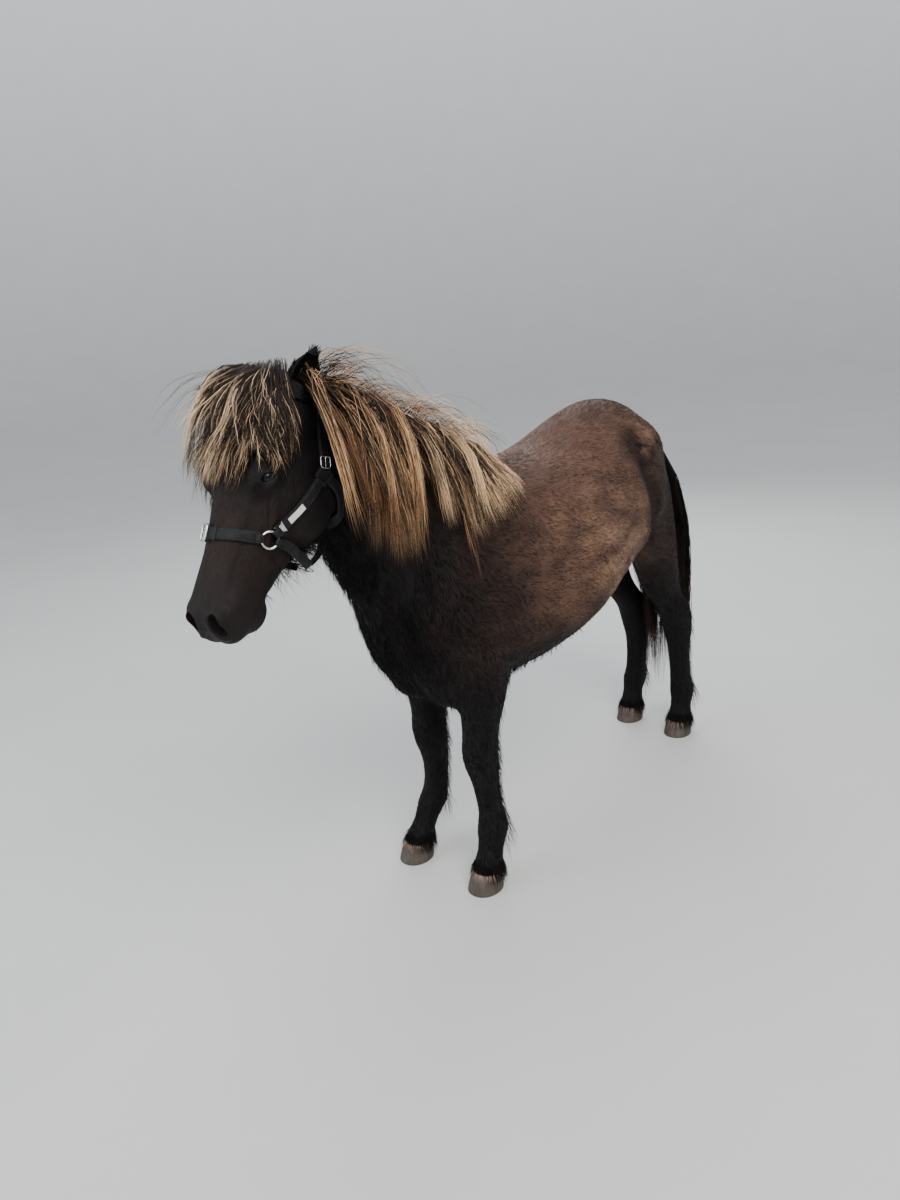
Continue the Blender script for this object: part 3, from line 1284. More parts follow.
def forelock(surface):
    """Pale locks on the right of the brow, darker ones on the left, and loose hairs over both."""
    rng = random.Random(5)
    draw = np.random.default_rng(5)
    guides = brow_guides(surface, 112, rng)
    right, left = guides[:50], guides[50:]
    right += brow_guides(surface, 120, rng, 0.7)[:26]
    groups = [
        coloured(surface, draw, right, 38, 0.016, 0.5, 0.0011, 0.008, BROW_TONE),
        coloured(surface, draw, left, 34, 0.016, 0.5, 0.0011, 0.008, BROW_NEAR_TONE),
    ]
    stray = brow_guides(surface, 110, rng, 2.6, 0.26)
    groups.append(coloured(surface, draw, stray, 4, 0.010, 1.1, 0.0008, 0.014, BROW_TONE, 0.6))
    return [built("forelock_hair", surface, groups)]


def tail(surface):
    """Locks that leave the dock all round and hang to the fetlocks."""
    rng = random.Random(8)
    draw = np.random.default_rng(8)
    guides = []
    for k in range(64):
        x, z, half = DOCK[k % len(DOCK)]
        turn = math.pi * (k * 0.382 * 2 % 2)
        root = Vector((x + half * 0.3 * math.cos(turn), half * 0.6 * math.sin(turn), z - 0.004))
        length = (z - TAIL_END) * rng.uniform(0.66, 1.0)
        heading = Vector((-0.46 + 0.26 * math.cos(turn), 0.46 * math.sin(turn), -0.62))
        drift = Vector((0.03, -0.07 * math.sin(turn), 0))
        path, normals = surface.lie(root, heading, length, HAIR_ROWS, 0.006, 0.72, drift)
        t = np.linspace(0, 1, len(path))[:, None]
        sway = np.array((rng.uniform(-0.016, 0.016), rng.uniform(-0.030, 0.030), 0))
        guides.append((path + sway * t**2, normals))
    groups = [coloured(surface, draw, guides, 50, 0.016, 0.6, 0.0015, 0.008, TAIL_TONE)]
    return [built("tail_hair", surface, groups)]


def nearest_on(surface, place, clear):
    near_by, normal, _, _ = surface.tree.find_nearest(place)
    return near_by + normal * clear, normal.copy()


def laid(surface, points, clear, pieces, snap=True):
    """A smooth path through the points, on the skin where snap is set and else only kept off it."""
    path, normals = [], []
    for row in smooth_rows([tuple(p) for p in points], pieces):
        place = Vector(row)
        placed, normal = nearest_on(surface, place, clear) if snap else surface.out(place, clear)
        path.append(placed)
        normals.append(normal.copy())
    for _ in range(8):
        smoothed = [normals[0]]
        for before, here, after in zip(normals, normals[1:], normals[2:]):
            smoothed.append((before + here * 2 + after).normalized())
        normals = smoothed + [normals[-1]]
    for _ in range(3):
        drawn = [path[0]]
        for before, here, after in zip(path, path[1:], path[2:]):
            drawn.append((before + here * 2 + after) / 4)
        path = drawn + [path[-1]]
    return path, normals


def run_of(path):
    """The length along the path up to each of its points."""
    lengths = [0.0]
    for a, b in zip(path, path[1:]):
        lengths.append(lengths[-1] + (b - a).length)
    return lengths


def part_of(path, normals, start, end, step=0.0035, lift=0.0):
    """The stretch of a path from start to end metres along it, moved out by the lift."""
    lengths = run_of(path)
    if end <= 0:
        end += lengths[-1]
    count = max(3, int((end - start) / step) + 1)
    spots, ways = [], []
    for k in range(count):
        goal = start + (end - start) * k / (count - 1)
        i = 0
        while i < len(lengths) - 2 and lengths[i + 1] < goal:
            i += 1
        f = (goal - lengths[i]) / max(lengths[i + 1] - lengths[i], 1e-9)
        way = (normals[i] * (1 - f) + normals[i + 1] * f).normalized()
        spots.append(path[i].lerp(path[i + 1], f) + way * lift)
        ways.append(way)
    return spots, ways


# Half section of webbing: share of the half-width, share of the half-thickness
WEB_SECTION = (
    (-0.93, -1.0), (-0.45, -1.0), (0.45, -1.0), (0.93, -1.0), (0.985, -0.6), (1.0, 0.0), (0.985, 0.6),
    (0.93, 1.0), (0.84, 1.0), (0.79, 0.45), (0.74, 1.0), (0.35, 1.06), (-0.35, 1.06), (-0.74, 1.0),
    (-0.79, 0.45), (-0.84, 1.0), (-0.93, 1.0), (-0.985, 0.6), (-1.0, 0.0), (-0.985, -0.6),
)
STITCH_LINE = 0.79
STITCH_STEP = 0.0034
STITCH_LONG = 0.0013
STITCH_WIDE = 0.00042
SEWN = (-STITCH_LINE, STITCH_LINE)
SEWN_THRICE = (-STITCH_LINE, 0.0, STITCH_LINE)


def frame_along(path, normals, i):
    last = len(path) - 1
    ahead = (path[min(i + 1, last)] - path[max(i - 1, 0)]).normalized()
    side = ahead.cross(normals[i]).normalized()
    return ahead, side, side.cross(ahead).normalized()


def tape(path, normals, width, thick, narrow=None):
    """Webbing with rolled edges and sunk stitch lines; narrow gives each place's share of the width."""
    rings = []
    for i, point in enumerate(path):
        _, side, up = frame_along(path, normals, i)
        half = width / 2 * (narrow[i] if narrow else 1.0)
        rings.append([point + side * (half * u) + up * (thick / 2 * v) for u, v in WEB_SECTION])
    return loft("webbing", rings)


def stitched(path, normals, width, thick, shares):
    """Small stitches along the lines of a strap, as points and faces."""
    points, faces = [], []
    lengths = run_of(path)
    goal = STITCH_STEP
    i = 0
    while goal < lengths[-1] - STITCH_STEP * 0.5:
        while lengths[i + 1] < goal:
            i += 1
        ahead, side, up = frame_along(path, normals, i)
        middle = path[i].lerp(path[i + 1], (goal - lengths[i]) / max(lengths[i + 1] - lengths[i], 1e-9))
        corners = [ahead * STITCH_LONG, side * STITCH_WIDE, ahead * -STITCH_LONG, side * -STITCH_WIDE]
        corners += [up * STITCH_WIDE, up * -0.0004]
        for share in shares:
            centre = middle + side * (width / 2 * share) + up * (thick / 2 * 0.86)
            start = len(points)
            points.extend(centre + p for p in corners)
            for a, b in ((0, 1), (1, 2), (2, 3), (3, 0)):
                faces.append((start + a, start + b, start + 4))
                faces.append((start + b, start + a, start + 5))
        goal += STITCH_STEP
    return points, faces


def looped(ring_at, ring_out, way, width):
    """Webbing that passes round a ring's bar, gathered there, between its lower and its upper layer."""
    way = (way - ring_out * way.dot(ring_out)).normalized()
    bar = ring_at + way * RING_RADIUS
    turn = RING_BAR + 0.0014
    path, normals = [], []
    for k in range(13):
        angle = math.radians(-90 - 180 * k / 12)
        out = way * math.cos(angle) + ring_out * math.sin(angle)
        path.append(bar + out * turn)
        normals.append(out)
    back = bar + way * 0.011
    path = [back - ring_out * turn * 0.9] + path + [back + ring_out * turn * 0.9]
    normals = [-ring_out] + normals + [ring_out]
    return tape(path, normals, width, DOUBLE, [0.86] + [0.66] * 13 + [0.86])


def round_bar(points, bar, across=10):
    """A closed bar of round wire through the points."""
    rings = []
    count = len(points)
    middle = sum(points, Vector()) / count
    for k, point in enumerate(points):
        ahead = (points[(k + 1) % count] - points[k - 1]).normalized()
        out = (point - middle).normalized()
        out = (out - ahead * out.dot(ahead)).normalized()
        rings.append(ring(point, out, ahead.cross(out), bar, bar, bar, 2.0, across))
    return loft("bar", rings, True)


def ring_points(centre, facing, radius, square=2.0, across=None, count=56):
    """A round or squarish course that faces this way."""
    facing = facing.normalized()
    across = across or facing.orthogonal()
    across = (across - facing * across.dot(facing)).normalized()
    along = facing.cross(across)
    found = []
    for k in range(count):
        angle = 2 * math.pi * k / count
        c, s = powered(math.cos(angle), 2 / square), powered(math.sin(angle), 2 / square)
        found.append(centre + (across * c + along * s) * radius)
    return found


def rod(start, end, bar):
    """The tongue of a buckle."""
    way = (end - start).normalized()
    side = way.orthogonal().normalized()
    up = way.cross(side)
    rings = []
    for t, share in ((0.0, 0.55), (0.04, 1.0), (0.96, 1.0), (1.0, 0.55)):
        size = bar * share
        rings.append(ring(start.lerp(end, t), side, up, size, size, size, 2.0, 10))
    return loft("rod", rings)


def noseband_course(surface, clear):
    course = []
    for k in range(41):
        angle = math.radians(-92 + 184 * k / 40)
        down = NOSEBAND_SIDE + (NOSEBAND_FRONT - NOSEBAND_SIDE) * (0.5 + 0.5 * math.cos(angle))
        course.append(HEAD_PLACE @ Vector((down, 0.085 * math.sin(angle), -0.012 + 0.085 * math.cos(angle))))
    return laid(surface, course, clear, 1)


def nose_buckle(course, clear):
    """The frame and the tongue of the buckle on the noseband."""
    spot, way = part_of(*course, BUCKLE_PLACE - 0.001, BUCKLE_PLACE + 0.001, 0.001, clear + LAYER)
    along = (spot[-1] - spot[0]).normalized()
    middle, facing = spot[1], way[1]
    aside = facing.cross(along).normalized()
    corner = []
    for k in range(60):
        angle = 2 * math.pi * k / 60
        c, s = powered(math.cos(angle), 0.42), powered(math.sin(angle), 0.36)
        corner.append(middle + along * (c * BUCKLE_HALF[0]) + aside * (s * BUCKLE_HALF[1]))
    tongue = rod(middle - along * 0.0098, middle + along * 0.0112 + facing * 0.0012, 0.0012)
    return [round_bar(corner, 0.0019), tongue]


def head_collar(surface):
    """The head collar: doubled, stitched webbing, the loops round its rings, and its metal."""
    clear = STRAP_THICK / 2 + 0.0016
    hold = RING_RADIUS + RING_BAR
    cloth, metal, pale, threads = [], [], [], []

    def webbing(path, out, width, thick, shares=SEWN):
        cloth.append(tape(path, out, width, thick))
        if shares:
            threads.append(stitched(path, out, width, thick, shares))

    def strap(course, start, end, width, thick, step=0.0035, lift=0.0, shares=SEWN):
        """One layer on a stretch of the course, sewn along these shares of its half-width."""
        webbing(*part_of(*course, start, end, step, lift), width, thick, shares)

    nose = noseband_course(surface, clear)
    total = run_of(nose[0])[-1]
    strap(nose, hold, -hold, STRAP_WIDTH, LAYER)
    # A second layer on the nose, folded back over the first from each ring and from the buckle
    for start, end in ((hold, BUCKLE_PLACE - 0.020), (BUCKLE_PLACE + 0.004, total - hold)):
        strap(nose, start, end, STRAP_WIDTH * 0.86, DOUBLE, lift=ABOVE)
    for start in (BUCKLE_PLACE + 0.024, BUCKLE_PLACE - 0.036):
        strap(nose, start, start + 0.0065, STRAP_WIDTH * 1.12, 0.0018, 0.0016, 0.0030, ())
    metal += nose_buckle(nose, clear)
    for side, end, beyond in ((1, -1, -6), (-1, 0, 5)):
        facing = nose[1][end]
        ring_at = nose[0][end] + facing * 0.0020
        metal.append(round_bar(ring_points(ring_at, facing, RING_RADIUS), RING_BAR, 12))
        cloth.append(looped(ring_at, facing, nose[0][beyond] - nose[0][end], STRAP_WIDTH))
        down_face = [HEAD_PLACE @ sided(p, side) for p in CHEEK_COURSE]
        below = [HEAD_PLACE @ sided(p, side) for p in CHIN_COURSE]
        cheek = laid(surface, [nose[0][end]] + down_face, clear, 12)
        length = run_of(cheek[0])[-1]
        strap(cheek, hold, length - 0.004, STRAP_WIDTH, LAYER)
        cloth.append(looped(ring_at, facing, cheek[0][6] - cheek[0][0], STRAP_WIDTH))
        strap(cheek, hold + 0.019, length - 0.010, STRAP_WIDTH * 0.90, DOUBLE, lift=ABOVE)
        slide = length - SLIDE_REACH[0], length + SLIDE_REACH[1]
        strap(cheek, *slide, SLIDE_WIDTH, SLIDE_THICK, 0.0025, 0.0012)
        if side > 0:
            path, out = part_of(*cheek, hold + 0.001, hold + 0.0185, 0.0010, 0.0028)
            waist = [1.0 - 0.46 * math.sin(math.pi * k / (len(path) - 1)) ** 0.8 for k in range(len(path))]
            metal.append(tape(path, out, KEEPER_WIDTH * 0.92, 0.0013, waist))
            path, out = part_of(*cheek, hold + 0.030, hold + 0.066, 0.0030, 0.0032)
            pale.append(tape(path, out, PATCH_WIDTH * 0.90, 0.0009))
        chin = laid(surface, [nose[0][end]] + below, clear, 10, snap=False)
        strap(chin, hold, -0.002, NARROW_STRAP, 0.0020)
        strap(chin, hold, hold + 0.034, NARROW_STRAP * 0.94, DOUBLE, lift=0.0017, shares=SEWN_THRICE)
        cloth.append(looped(ring_at, facing, chin[0][5] - chin[0][0], NARROW_STRAP))
    for course, snap in ((CROWN_COURSE, True), (THROAT_COURSE, False)):
        half = [HEAD_PLACE @ sided(p, 1) for p in course]
        other = [HEAD_PLACE @ sided(p, -1) for p in course[:-1]]
        over = laid(surface, half + other[::-1], clear + 0.0016, 10, snap=snap)
        strap(over, 0.0, 0.0, NARROW_STRAP, LAYER)
        if snap:
            strap(over, 0.022, 0.105, NARROW_STRAP, DOUBLE, lift=ABOVE)
            for start in (0.050, 0.086):
                strap(over, start, start + 0.006, NARROW_STRAP * 1.16, DOUBLE, 0.0015, 0.0026, ())
            spot, way = part_of(*over, 0.013, 0.017, 0.001, 0.0040)
            along = (spot[-1] - spot[0]).normalized()
            metal.append(round_bar(ring_points(spot[1], way[1], 0.0098, 5.0, along), 0.0012))
            metal.append(rod(spot[1] - along * 0.0090, spot[1] + along * 0.0102 + way[1] * 0.001, 0.0008))
    path = [Vector(row) for row in smooth_rows([tuple(HEAD_PLACE @ Vector(p)) for p in JAW_COURSE], 8)]
    facing = (HEAD_TURN @ Vector((0, 0, -1))).normalized()
    webbing(path, [facing] * len(path), NARROW_STRAP, LAYER)
    forward = (HEAD_TURN @ Vector((1, 0, 0))).normalized()
    metal.append(round_bar(ring_points(HEAD_PLACE @ CHIN_RING_AT, forward, CHIN_RING_RADIUS), RING_BAR, 12))
    points, faces = [], []
    for some, several in threads:
        start = len(points)
        points.extend(some)
        faces.extend(tuple(start + i for i in face) for face in several)
    thread = mesh_object("collar_stitching", points, faces)
    joined = [join("collar_webbing", cloth), join("collar_metal", metal), join("collar_patch", pale), thread]
    for obj in joined[:2]:
        obj.data.shade_smooth()
    return joined


FRINGE_LOWEST = 0.006
# Long coat hairs: middle, sizes of the patch, side it faces, length, width, count, stand off the skin
FRINGES = (
    # Jaw, beard, throat
    ((0.812, 0.010, 0.905), (0.10, 0.06, 0.10), (0, 0, -1), 0.034, 0.0012, 900, 0.30),
    ((0.800, 0.012, 0.862), (0.05, 0.05, 0.05), (-0.2, 0, -1), 0.062, 0.0007, 620, 0.42),
    ((0.700, 0.0, 0.800), (0.07, 0.07, 0.10), (0.8, 0, -0.6), 0.030, 0.0014, 900, 0.28),
    # Breast, belly, elbows
    ((0.590, 0.0, 0.640), (0.06, 0.12, 0.12), (0.9, 0, -0.3), 0.026, 0.0015, 1300, 0.22),
    ((0.180, 0.0, 0.480), (0.30, 0.14, 0.05), (0, 0, -1), 0.026, 0.0015, 1200, 0.25),
    ((0.350, 0.0, 0.530), (0.05, 0.16, 0.07), (-0.9, 0, -0.3), 0.024, 0.0014, 500, 0.25),
)


def fringes(surface):
    """Longer hairs under the jaw, on throat, breast and belly, and down the backs of the legs."""
    rng = np.random.default_rng(21)
    groups = []
    for middle, sizes, facing, length, width, count, stand in FRINGES:
        way_out = unit(np.array(facing, float))

        def density(points, normals):
            return near(points, middle, sizes) * np.clip((normals @ way_out) + 0.1, 0, 1)

        groups.append((*surface.scattered(count, density, rng), length, width, stand))

    def backs(points, normals):
        knee = ramp(-points[:, 2], -0.46, -0.34) * ramp(points[:, 2], 0.10, 0.14)
        return knee * np.clip(-normals[:, 0] - 0.2, 0, 1)

    def coronet(points, _):
        return bell(points[:, 2], 0.056, 0.008) * (points[:, 2] > 0.046)

    groups.append((*surface.scattered(2600, backs, rng), 0.030, 0.0011, 0.36))
    groups.append((*surface.scattered(2600, coronet, rng), 0.026, 0.0012, 0.44))
    joined = []
    for places, normals, maps, length, width, stand in groups:
        count = len(places)
        way = lie_of(places, normals)
        fetlock = bell(places[:, 2], 0.125, 0.035) * (length > 0.028)
        long = (length * rng.uniform(0.6, 1.2, count) * (1 + 0.9 * fetlock))[:, None]
        lift = stand * rng.uniform(0.5, 1.2, count)[:, None]
        drop = np.array((0, 0, -1.0))[None]
        swirl = np.cross(normals, way) * rng.normal(0, 0.28, count)[:, None]
        way = unit(way + swirl)
        rows = [places - normals * 0.0008]
        for t in (0.3, 0.65, 1.0):
            rows.append(places + way * long * t + normals * lift * long * t + drop * long * 0.35 * t**2)
        path = np.stack(rows, axis=1)
        path[:, 1:, 2] = np.maximum(path[:, 1:, 2], FRINGE_LOWEST)
        shade = coat_colour(places)[:, None] * rng.uniform(0.7, 1.5, count)[:, None, None]
        ups, wide = np.repeat(normals[:, None], 4, axis=1), width * rng.uniform(0.7, 1.3, count)
        tones = np.repeat(shade, 4, axis=1) * np.array((0.9, 1.0, 1.15, 1.4))[None, :, None]
        joined.append((path, ups, wide, tones, maps))
    paths, ups, widths, colours, maps = (np.concatenate(part) for part in zip(*joined))
    return [strands("fringe", paths, ups, widths, (0.7, 1.0, 0.7, 0.0), colours, maps)]


def short_hairs(name, rows):
    """One piece from single hairs: each a path, its way up, width, colours and place on the map."""
    paths, ups, widths, colours, maps = (np.array(part) for part in zip(*rows))
    return [strands(name, paths, ups, widths, (0.8, 1.0, 0.7, 0.0), colours, maps)]


def ear_hairs(surface):
    """Soft pale hairs along the rims and out of the cup of each ear."""
    rng = np.random.default_rng(31)
    rows = []
    for side in (1, -1):
        base, axis, out, across, length = ear_axes(side)
        for _ in range(420):
            along = rng.uniform(0.12, 0.97)
            _, width, depth = smooth_rows(EAR, 20)[int(along * 80)]
            edge = 1 if rng.random() < 0.72 else -1
            inner = rng.random() < 0.35
            share = rng.uniform(-0.6, 0.6) if inner else edge * rng.uniform(0.86, 0.98)
            place = base + axis * (length * along) + across * (width * share)
            rise = depth * 0.15 if not inner else -0.002
            place = place + out * (-EAR_BOW * math.sin(math.pi * along) + rise)
            near_by, normal, _, _ = surface.tree.find_nearest(place)
            way = (axis * 1.0 + out * rng.uniform(0.05, 0.30) + across * (0.22 * share)).normalized()
            long = rng.uniform(0.005, 0.010)
            path = [tuple(near_by - normal * 0.0006)]
            for t in (0.35, 0.7, 1.0):
                path.append(tuple(near_by + way * (long * t) + normal * (long * 0.25 * t)))
            thick = 0.0009 * rng.uniform(0.7, 1.3)
            pale = rng.random() < (0.45 if edge > 0 and not inner else 0.0)
            tone = np.array(PALE_HAIR if pale else DARK_HAIR) * rng.uniform(0.5, 1.1)
            tones = [tone * 0.6, tone, tone, tone]
            rows.append((path, [tuple(normal)] * 4, thick, tones, surface.map_at(near_by)))
    return short_hairs("ear_hair", rows)


def lashes(surface):
    """Long lashes above the eye, a few short ones below."""
    rng = np.random.default_rng(41)
    rows = []
    for side in (1, -1):
        centre, out, along, up = eye_axes(side)
        for k in range(64):
            upper = k % 4 > 0
            angle = math.radians(rng.uniform(20, 160) if upper else rng.uniform(200, 340))
            p, q = 0.0152 * math.cos(angle), 0.0086 * math.sin(angle)
            rise = math.sqrt((EYE_RADIUS + 0.0015) ** 2 - p * p - q * q)
            root = centre + out * rise + along * p + up * q
            lift = 1.0 if upper else -0.5
            way = (out * 0.8 + up * (0.35 * lift) + along * (0.5 * math.cos(angle))).normalized()
            long = (0.009 if upper else 0.004) * rng.uniform(0.7, 1.1)
            steps = (0.0, 0.35, 0.7, 1.0)
            path = [tuple(root + way * (long * t) - up * (0.0025 * lift * t * t)) for t in steps]
            rows.append((path, [tuple(up)] * 4, 0.00045, [DARK_HAIR] * 4, surface.map_at(root)))
    return short_hairs("lashes", rows)


def eyeball(side):
    """A wet dark eye: a wide level pupil in a deep brown iris, with a paler rim at the corners."""
    centre, out, along, up = eye_axes(side)
    shape = bmesh.new()
    bmesh.ops.create_uvsphere(shape, u_segments=72, v_segments=48, radius=EYE_RADIUS - 0.0002)
    mesh = bpy.data.meshes.new("eyeball")
    turn = Matrix((along, up, out)).transposed().to_4x4()
    for vert in shape.verts:
        bulge = max(0.0, vert.co.z / EYE_RADIUS - 0.72)
        vert.co.z += bulge * 0.003
    shape.to_mesh(mesh)
    shape.free()
    p, q, _ = (read(mesh.vertices, "co", 3) / EYE_RADIUS).T
    pupil = 1 - ramp(np.sqrt((p / 0.40) ** 2 + (q / 0.20) ** 2), 0.85, 1.1)
    iris = 1 - ramp(np.sqrt(p**2 + q**2), 0.66, 0.76)
    painted(mesh, mixed(mixed(EYE_RIM, EYE_IRIS, iris[:, None]), EYE_PUPIL, pupil[:, None]))
    mesh.transform(Matrix.Translation(centre) @ turn)
    mesh.shade_smooth()
    word = "left" if side > 0 else "right"
    return linked(f"eyeball_{word}", mesh)


def hoof_shell(rows, side, name):
    """Horn wall with growth rings, a rounded toe and a flat sole."""
    x, y = stance(rows, side)[-1][0], stance(rows, side)[-1][1] * side
    across, ahead = Vector((0, side, 0)), Vector((1, 0, 0))
    rings = []
    for z, shift, reach, width in smooth_rows(HOOF, 10):
        wave = 0.00035 * math.sin(z * 1500) if 0.006 < z < 0.040 else 0.0
        centre = Vector((x + shift, y, max(z, 0.0)))
        section = []
        for p in ring(centre, across, ahead, width + wave, reach + wave, reach * 0.93, 2.1, 72):
            heel = max(0.0, (x + shift - p.x) / reach - 0.55)
            section.append(p + ahead * heel * 0.004 * math.cos((p.y - y) / width * math.pi))
        rings.append(section)
    made = loft(name, rings)
    points = points_of(made)
    blend = ramp(points[:, 2] + 0.002 * wander(points, 120.0, 9), 0.026, 0.042)[:, None]
    streak = (0.8 + 0.5 * wander(points * np.array((1, 1, 0.08)), 160.0, 6))[:, None]
    painted(made.data, np.clip(mixed(HORN, CORONET, blend) * streak, 0.003, 1))
    made.data.shade_smooth()
    return made


class Look:
    """A procedural material round one Principled shader, whose own sockets hold its constants."""

    def __init__(self, name, **fixed):
        self.made = bpy.data.materials.new(name)
        self.made.use_nodes = True
        self.tree = self.made.node_tree
        self.shader = self.tree.nodes["Principled BSDF"]
        self.fill(self.shader, **fixed)

    def fill(self, node, **inputs):
        """Sets each input of a node, or links it where it is given another node's output."""
        for name, value in inputs.items():
            socket = node.inputs[name.replace("_", " ")]
            if isinstance(value, bpy.types.NodeSocket):
                self.tree.links.new(value, socket)
            else:
                socket.default_value = value

    def node(self, kind, output, settings=(), **inputs):
        """The output of a new node."""
        node = self.tree.nodes.new(kind)
        for name, value in settings:
            setattr(node, name, value)
        self.fill(node, **inputs)
        return node.outputs[output]

    def place(self):
        return self.node("ShaderNodeTexCoord", "Object")

    def attribute(self, name, output):
        return self.node("ShaderNodeAttribute", output, (("attribute_name", name),))

    def noise(self, vector, scale, detail):
        inputs = {"Vector": vector, "Scale": scale, "Detail": detail, "Roughness": 0.55}
        return self.node("ShaderNodeTexNoise", "Fac", **inputs)

    def scaled(self, vector, scale):
        return self.node("ShaderNodeMapping", "Vector", Vector=vector, Scale=scale)

    def ranged(self, value, low, high):
        return self.node("ShaderNodeMapRange", "Result", Value=value, To_Min=low, To_Max=high)

    def tinted(self, value, low, high):
        """The piece's own colours, times the value in this range."""
        tint = {"Vector": self.attribute("coat", "Color"), "Scale": self.ranged(value, low, high)}
        made = self.node("ShaderNodeVectorMath", "Vector", (("operation", "SCALE"),), **tint)
        self.fill(self.shader, Base_Color=made)

    def graded(self, value, dark, pale, ends=(0.0, 1.0)):
        """From the dark colour to the pale one as the value goes from end to end."""
        ramped = self.tree.nodes.new("ShaderNodeValToRGB")
        for element, colour, end in zip(ramped.color_ramp.elements, (dark, pale), ends):
            element.color = (*colour, 1)
            element.position = end
        self.fill(ramped, Fac=value)
        self.fill(self.shader, Base_Color=ramped.outputs["Color"])

    def rough(self, value, low, high):
        self.fill(self.shader, Roughness=self.ranged(value, low, high))

    def bumped(self, *heights):
        """Bumps one on another: each a height, its strength and its depth in metres."""
        before = {}
        for height, strength, depth in heights:
            bump = {"Height": height, "Strength": strength, "Distance": depth, **before}
            before = {"Normal": self.node("ShaderNodeBump", "Normal", **bump)}
        self.fill(self.shader, **before)


def coat_look():
    """Skin under the tufts: the markings, with fine hair drawn along its lie."""
    look = Look("coat_skin", Specular_IOR_Level=0.15)
    lie = look.attribute("lie", "Vector")
    fine = look.noise(look.scaled(lie, (34, 760, 760)), 1.0, 3.0)
    clumps = look.noise(look.scaled(lie, (14, 120, 120)), 1.0, 2.0)
    look.tinted(fine, 0.30, 1.40)
    look.rough(clumps, 0.48, 0.78)
    look.bumped((clumps, 0.5, 0.0022), (fine, 0.8, 0.0009))
    return look.made


def hair_look(name, rough, shine, low, high):
    """Tufts and long hair: their own colour, varied along and across the strand."""
    look = Look(name, Specular_IOR_Level=shine)
    fine = look.noise(look.place(), 240.0, 2.0)
    look.tinted(fine, low, high)
    look.rough(fine, rough - 0.08, rough + 0.08)
    return look.made


def eye_look():
    look = Look("eye_wet", Roughness=0.07, Specular_IOR_Level=0.32)
    look.tinted(look.noise(look.place(), 900.0, 3.0), 0.6, 1.4)
    return look.made


def horn_look():
    """Growth rings and dirt on the hooves."""
    look = Look("hoof_horn")
    rings = look.noise(look.scaled(look.place(), (40, 40, 900)), 1.0, 3.0)
    dirt = look.noise(look.place(), 90.0, 5.0)
    look.tinted(dirt, 0.35, 1.5)
    look.rough(dirt, 0.45, 0.85)
    look.bumped((rings, 0.6, 0.0006), (dirt, 0.4, 0.0006))
    return look.made


def web_look():
    """Woven nylon: a fine twill with a soft shine."""
    look = Look("webbing_black", Specular_IOR_Level=0.22)
    turned = look.node("ShaderNodeMapping", "Vector", Vector=look.place(), Rotation=(0.4, -0.93, 0.2))
    weave = look.node("ShaderNodeTexWave", "Fac", Vector=turned, Scale=260.0, Distortion=0.6, Detail=1.0)
    worn = look.noise(look.place(), 120.0, 4.0)
    look.graded(worn, (0.0030, 0.0030, 0.0036), (0.0120, 0.0120, 0.0140), (0.35, 0.75))
    look.rough(worn, 0.42, 0.68)
    look.bumped((weave, 0.5, 0.0005), (worn, 0.2, 0.0005))
    return look.made


def thread_look():
    """Sewing thread, a little greyer than the webbing."""
    look = Look("thread_black", Roughness=0.6, Specular_IOR_Level=0.25)
    look.graded(look.noise(look.place(), 900.0, 2.0), (0.020, 0.020, 0.023), (0.060, 0.060, 0.066))
    return look.made


def steel_look():
    look = Look("steel_plated", Metallic=1.0)
    worn = look.noise(look.place(), 180.0, 4.0)
    look.graded(worn, (0.42, 0.41, 0.40), (0.74, 0.74, 0.75))
    look.rough(worn, 0.14, 0.36)
    look.bumped((worn, 0.15, 0.0003))
    return look.made


def patch_look():
    look = Look("patch_pale", Roughness=0.6)
    weave = look.noise(look.place(), 700.0, 2.0)
    look.graded(weave, (0.46, 0.45, 0.42), (0.70, 0.69, 0.66))
    look.bumped((weave, 0.4, 0.0004))
    return look.made


def lie_places(points):
    """Coordinates that run along the lie of the coat first, blended from part to part."""
    local, head, leg, neck = regions(points)
    found = points @ np.array(((0.91, 0, 0.41), (0, 1, 0), (-0.41, 0, 0.91))).T
    on_neck = points @ np.array(((0.54, 0, 0.84), (0, 1, 0), (-0.84, 0, 0.54))).T
    on_leg = points @ np.array(((0, 0, 1), (0, 1, 0), (1, 0, 0))).T
    return mixed(mixed(mixed(found, on_neck, neck), on_leg, leg), local, head)


def with_look(obj, look, node_names):
    obj.data.materials.clear()
    obj.data.materials.append(look)
    obj.data.transform(Matrix.Translation(SHIFT))
    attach(obj, "root")
    if node_names:
        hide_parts(*node_names)
    return obj


def aimed_camera():
    """The photograph's viewpoint: off the pony's left fore, about as high as its back, tilted a little."""
    level = Vector((math.cos(YAW), math.sin(YAW), 0))
    side = Vector((math.sin(YAW), -math.cos(YAW), 0))
    up = Vector((0, 0, 1))
    ahead = level * math.cos(DIP) - up * math.sin(DIP)
    down = -up * math.cos(DIP) - level * math.sin(DIP)
    right = side * math.cos(ROLL) - down * math.sin(ROLL)
    below = side * math.sin(ROLL) + down * math.cos(ROLL)
    lens = bpy.data.cameras.new("camera")
    lens.lens = LENS
    lens.sensor_width = SENSOR
    lens.sensor_fit = "AUTO"
    lens.clip_start = 0.05
    camera = bpy.data.objects.new("camera", lens)
    turn = Matrix((right, -below, -ahead)).transposed().to_4x4()
    camera.matrix_world = Matrix.Translation(CAMERA_AT) @ turn
    bpy.context.scene.collection.objects.link(camera)
    bpy.context.scene.camera = camera


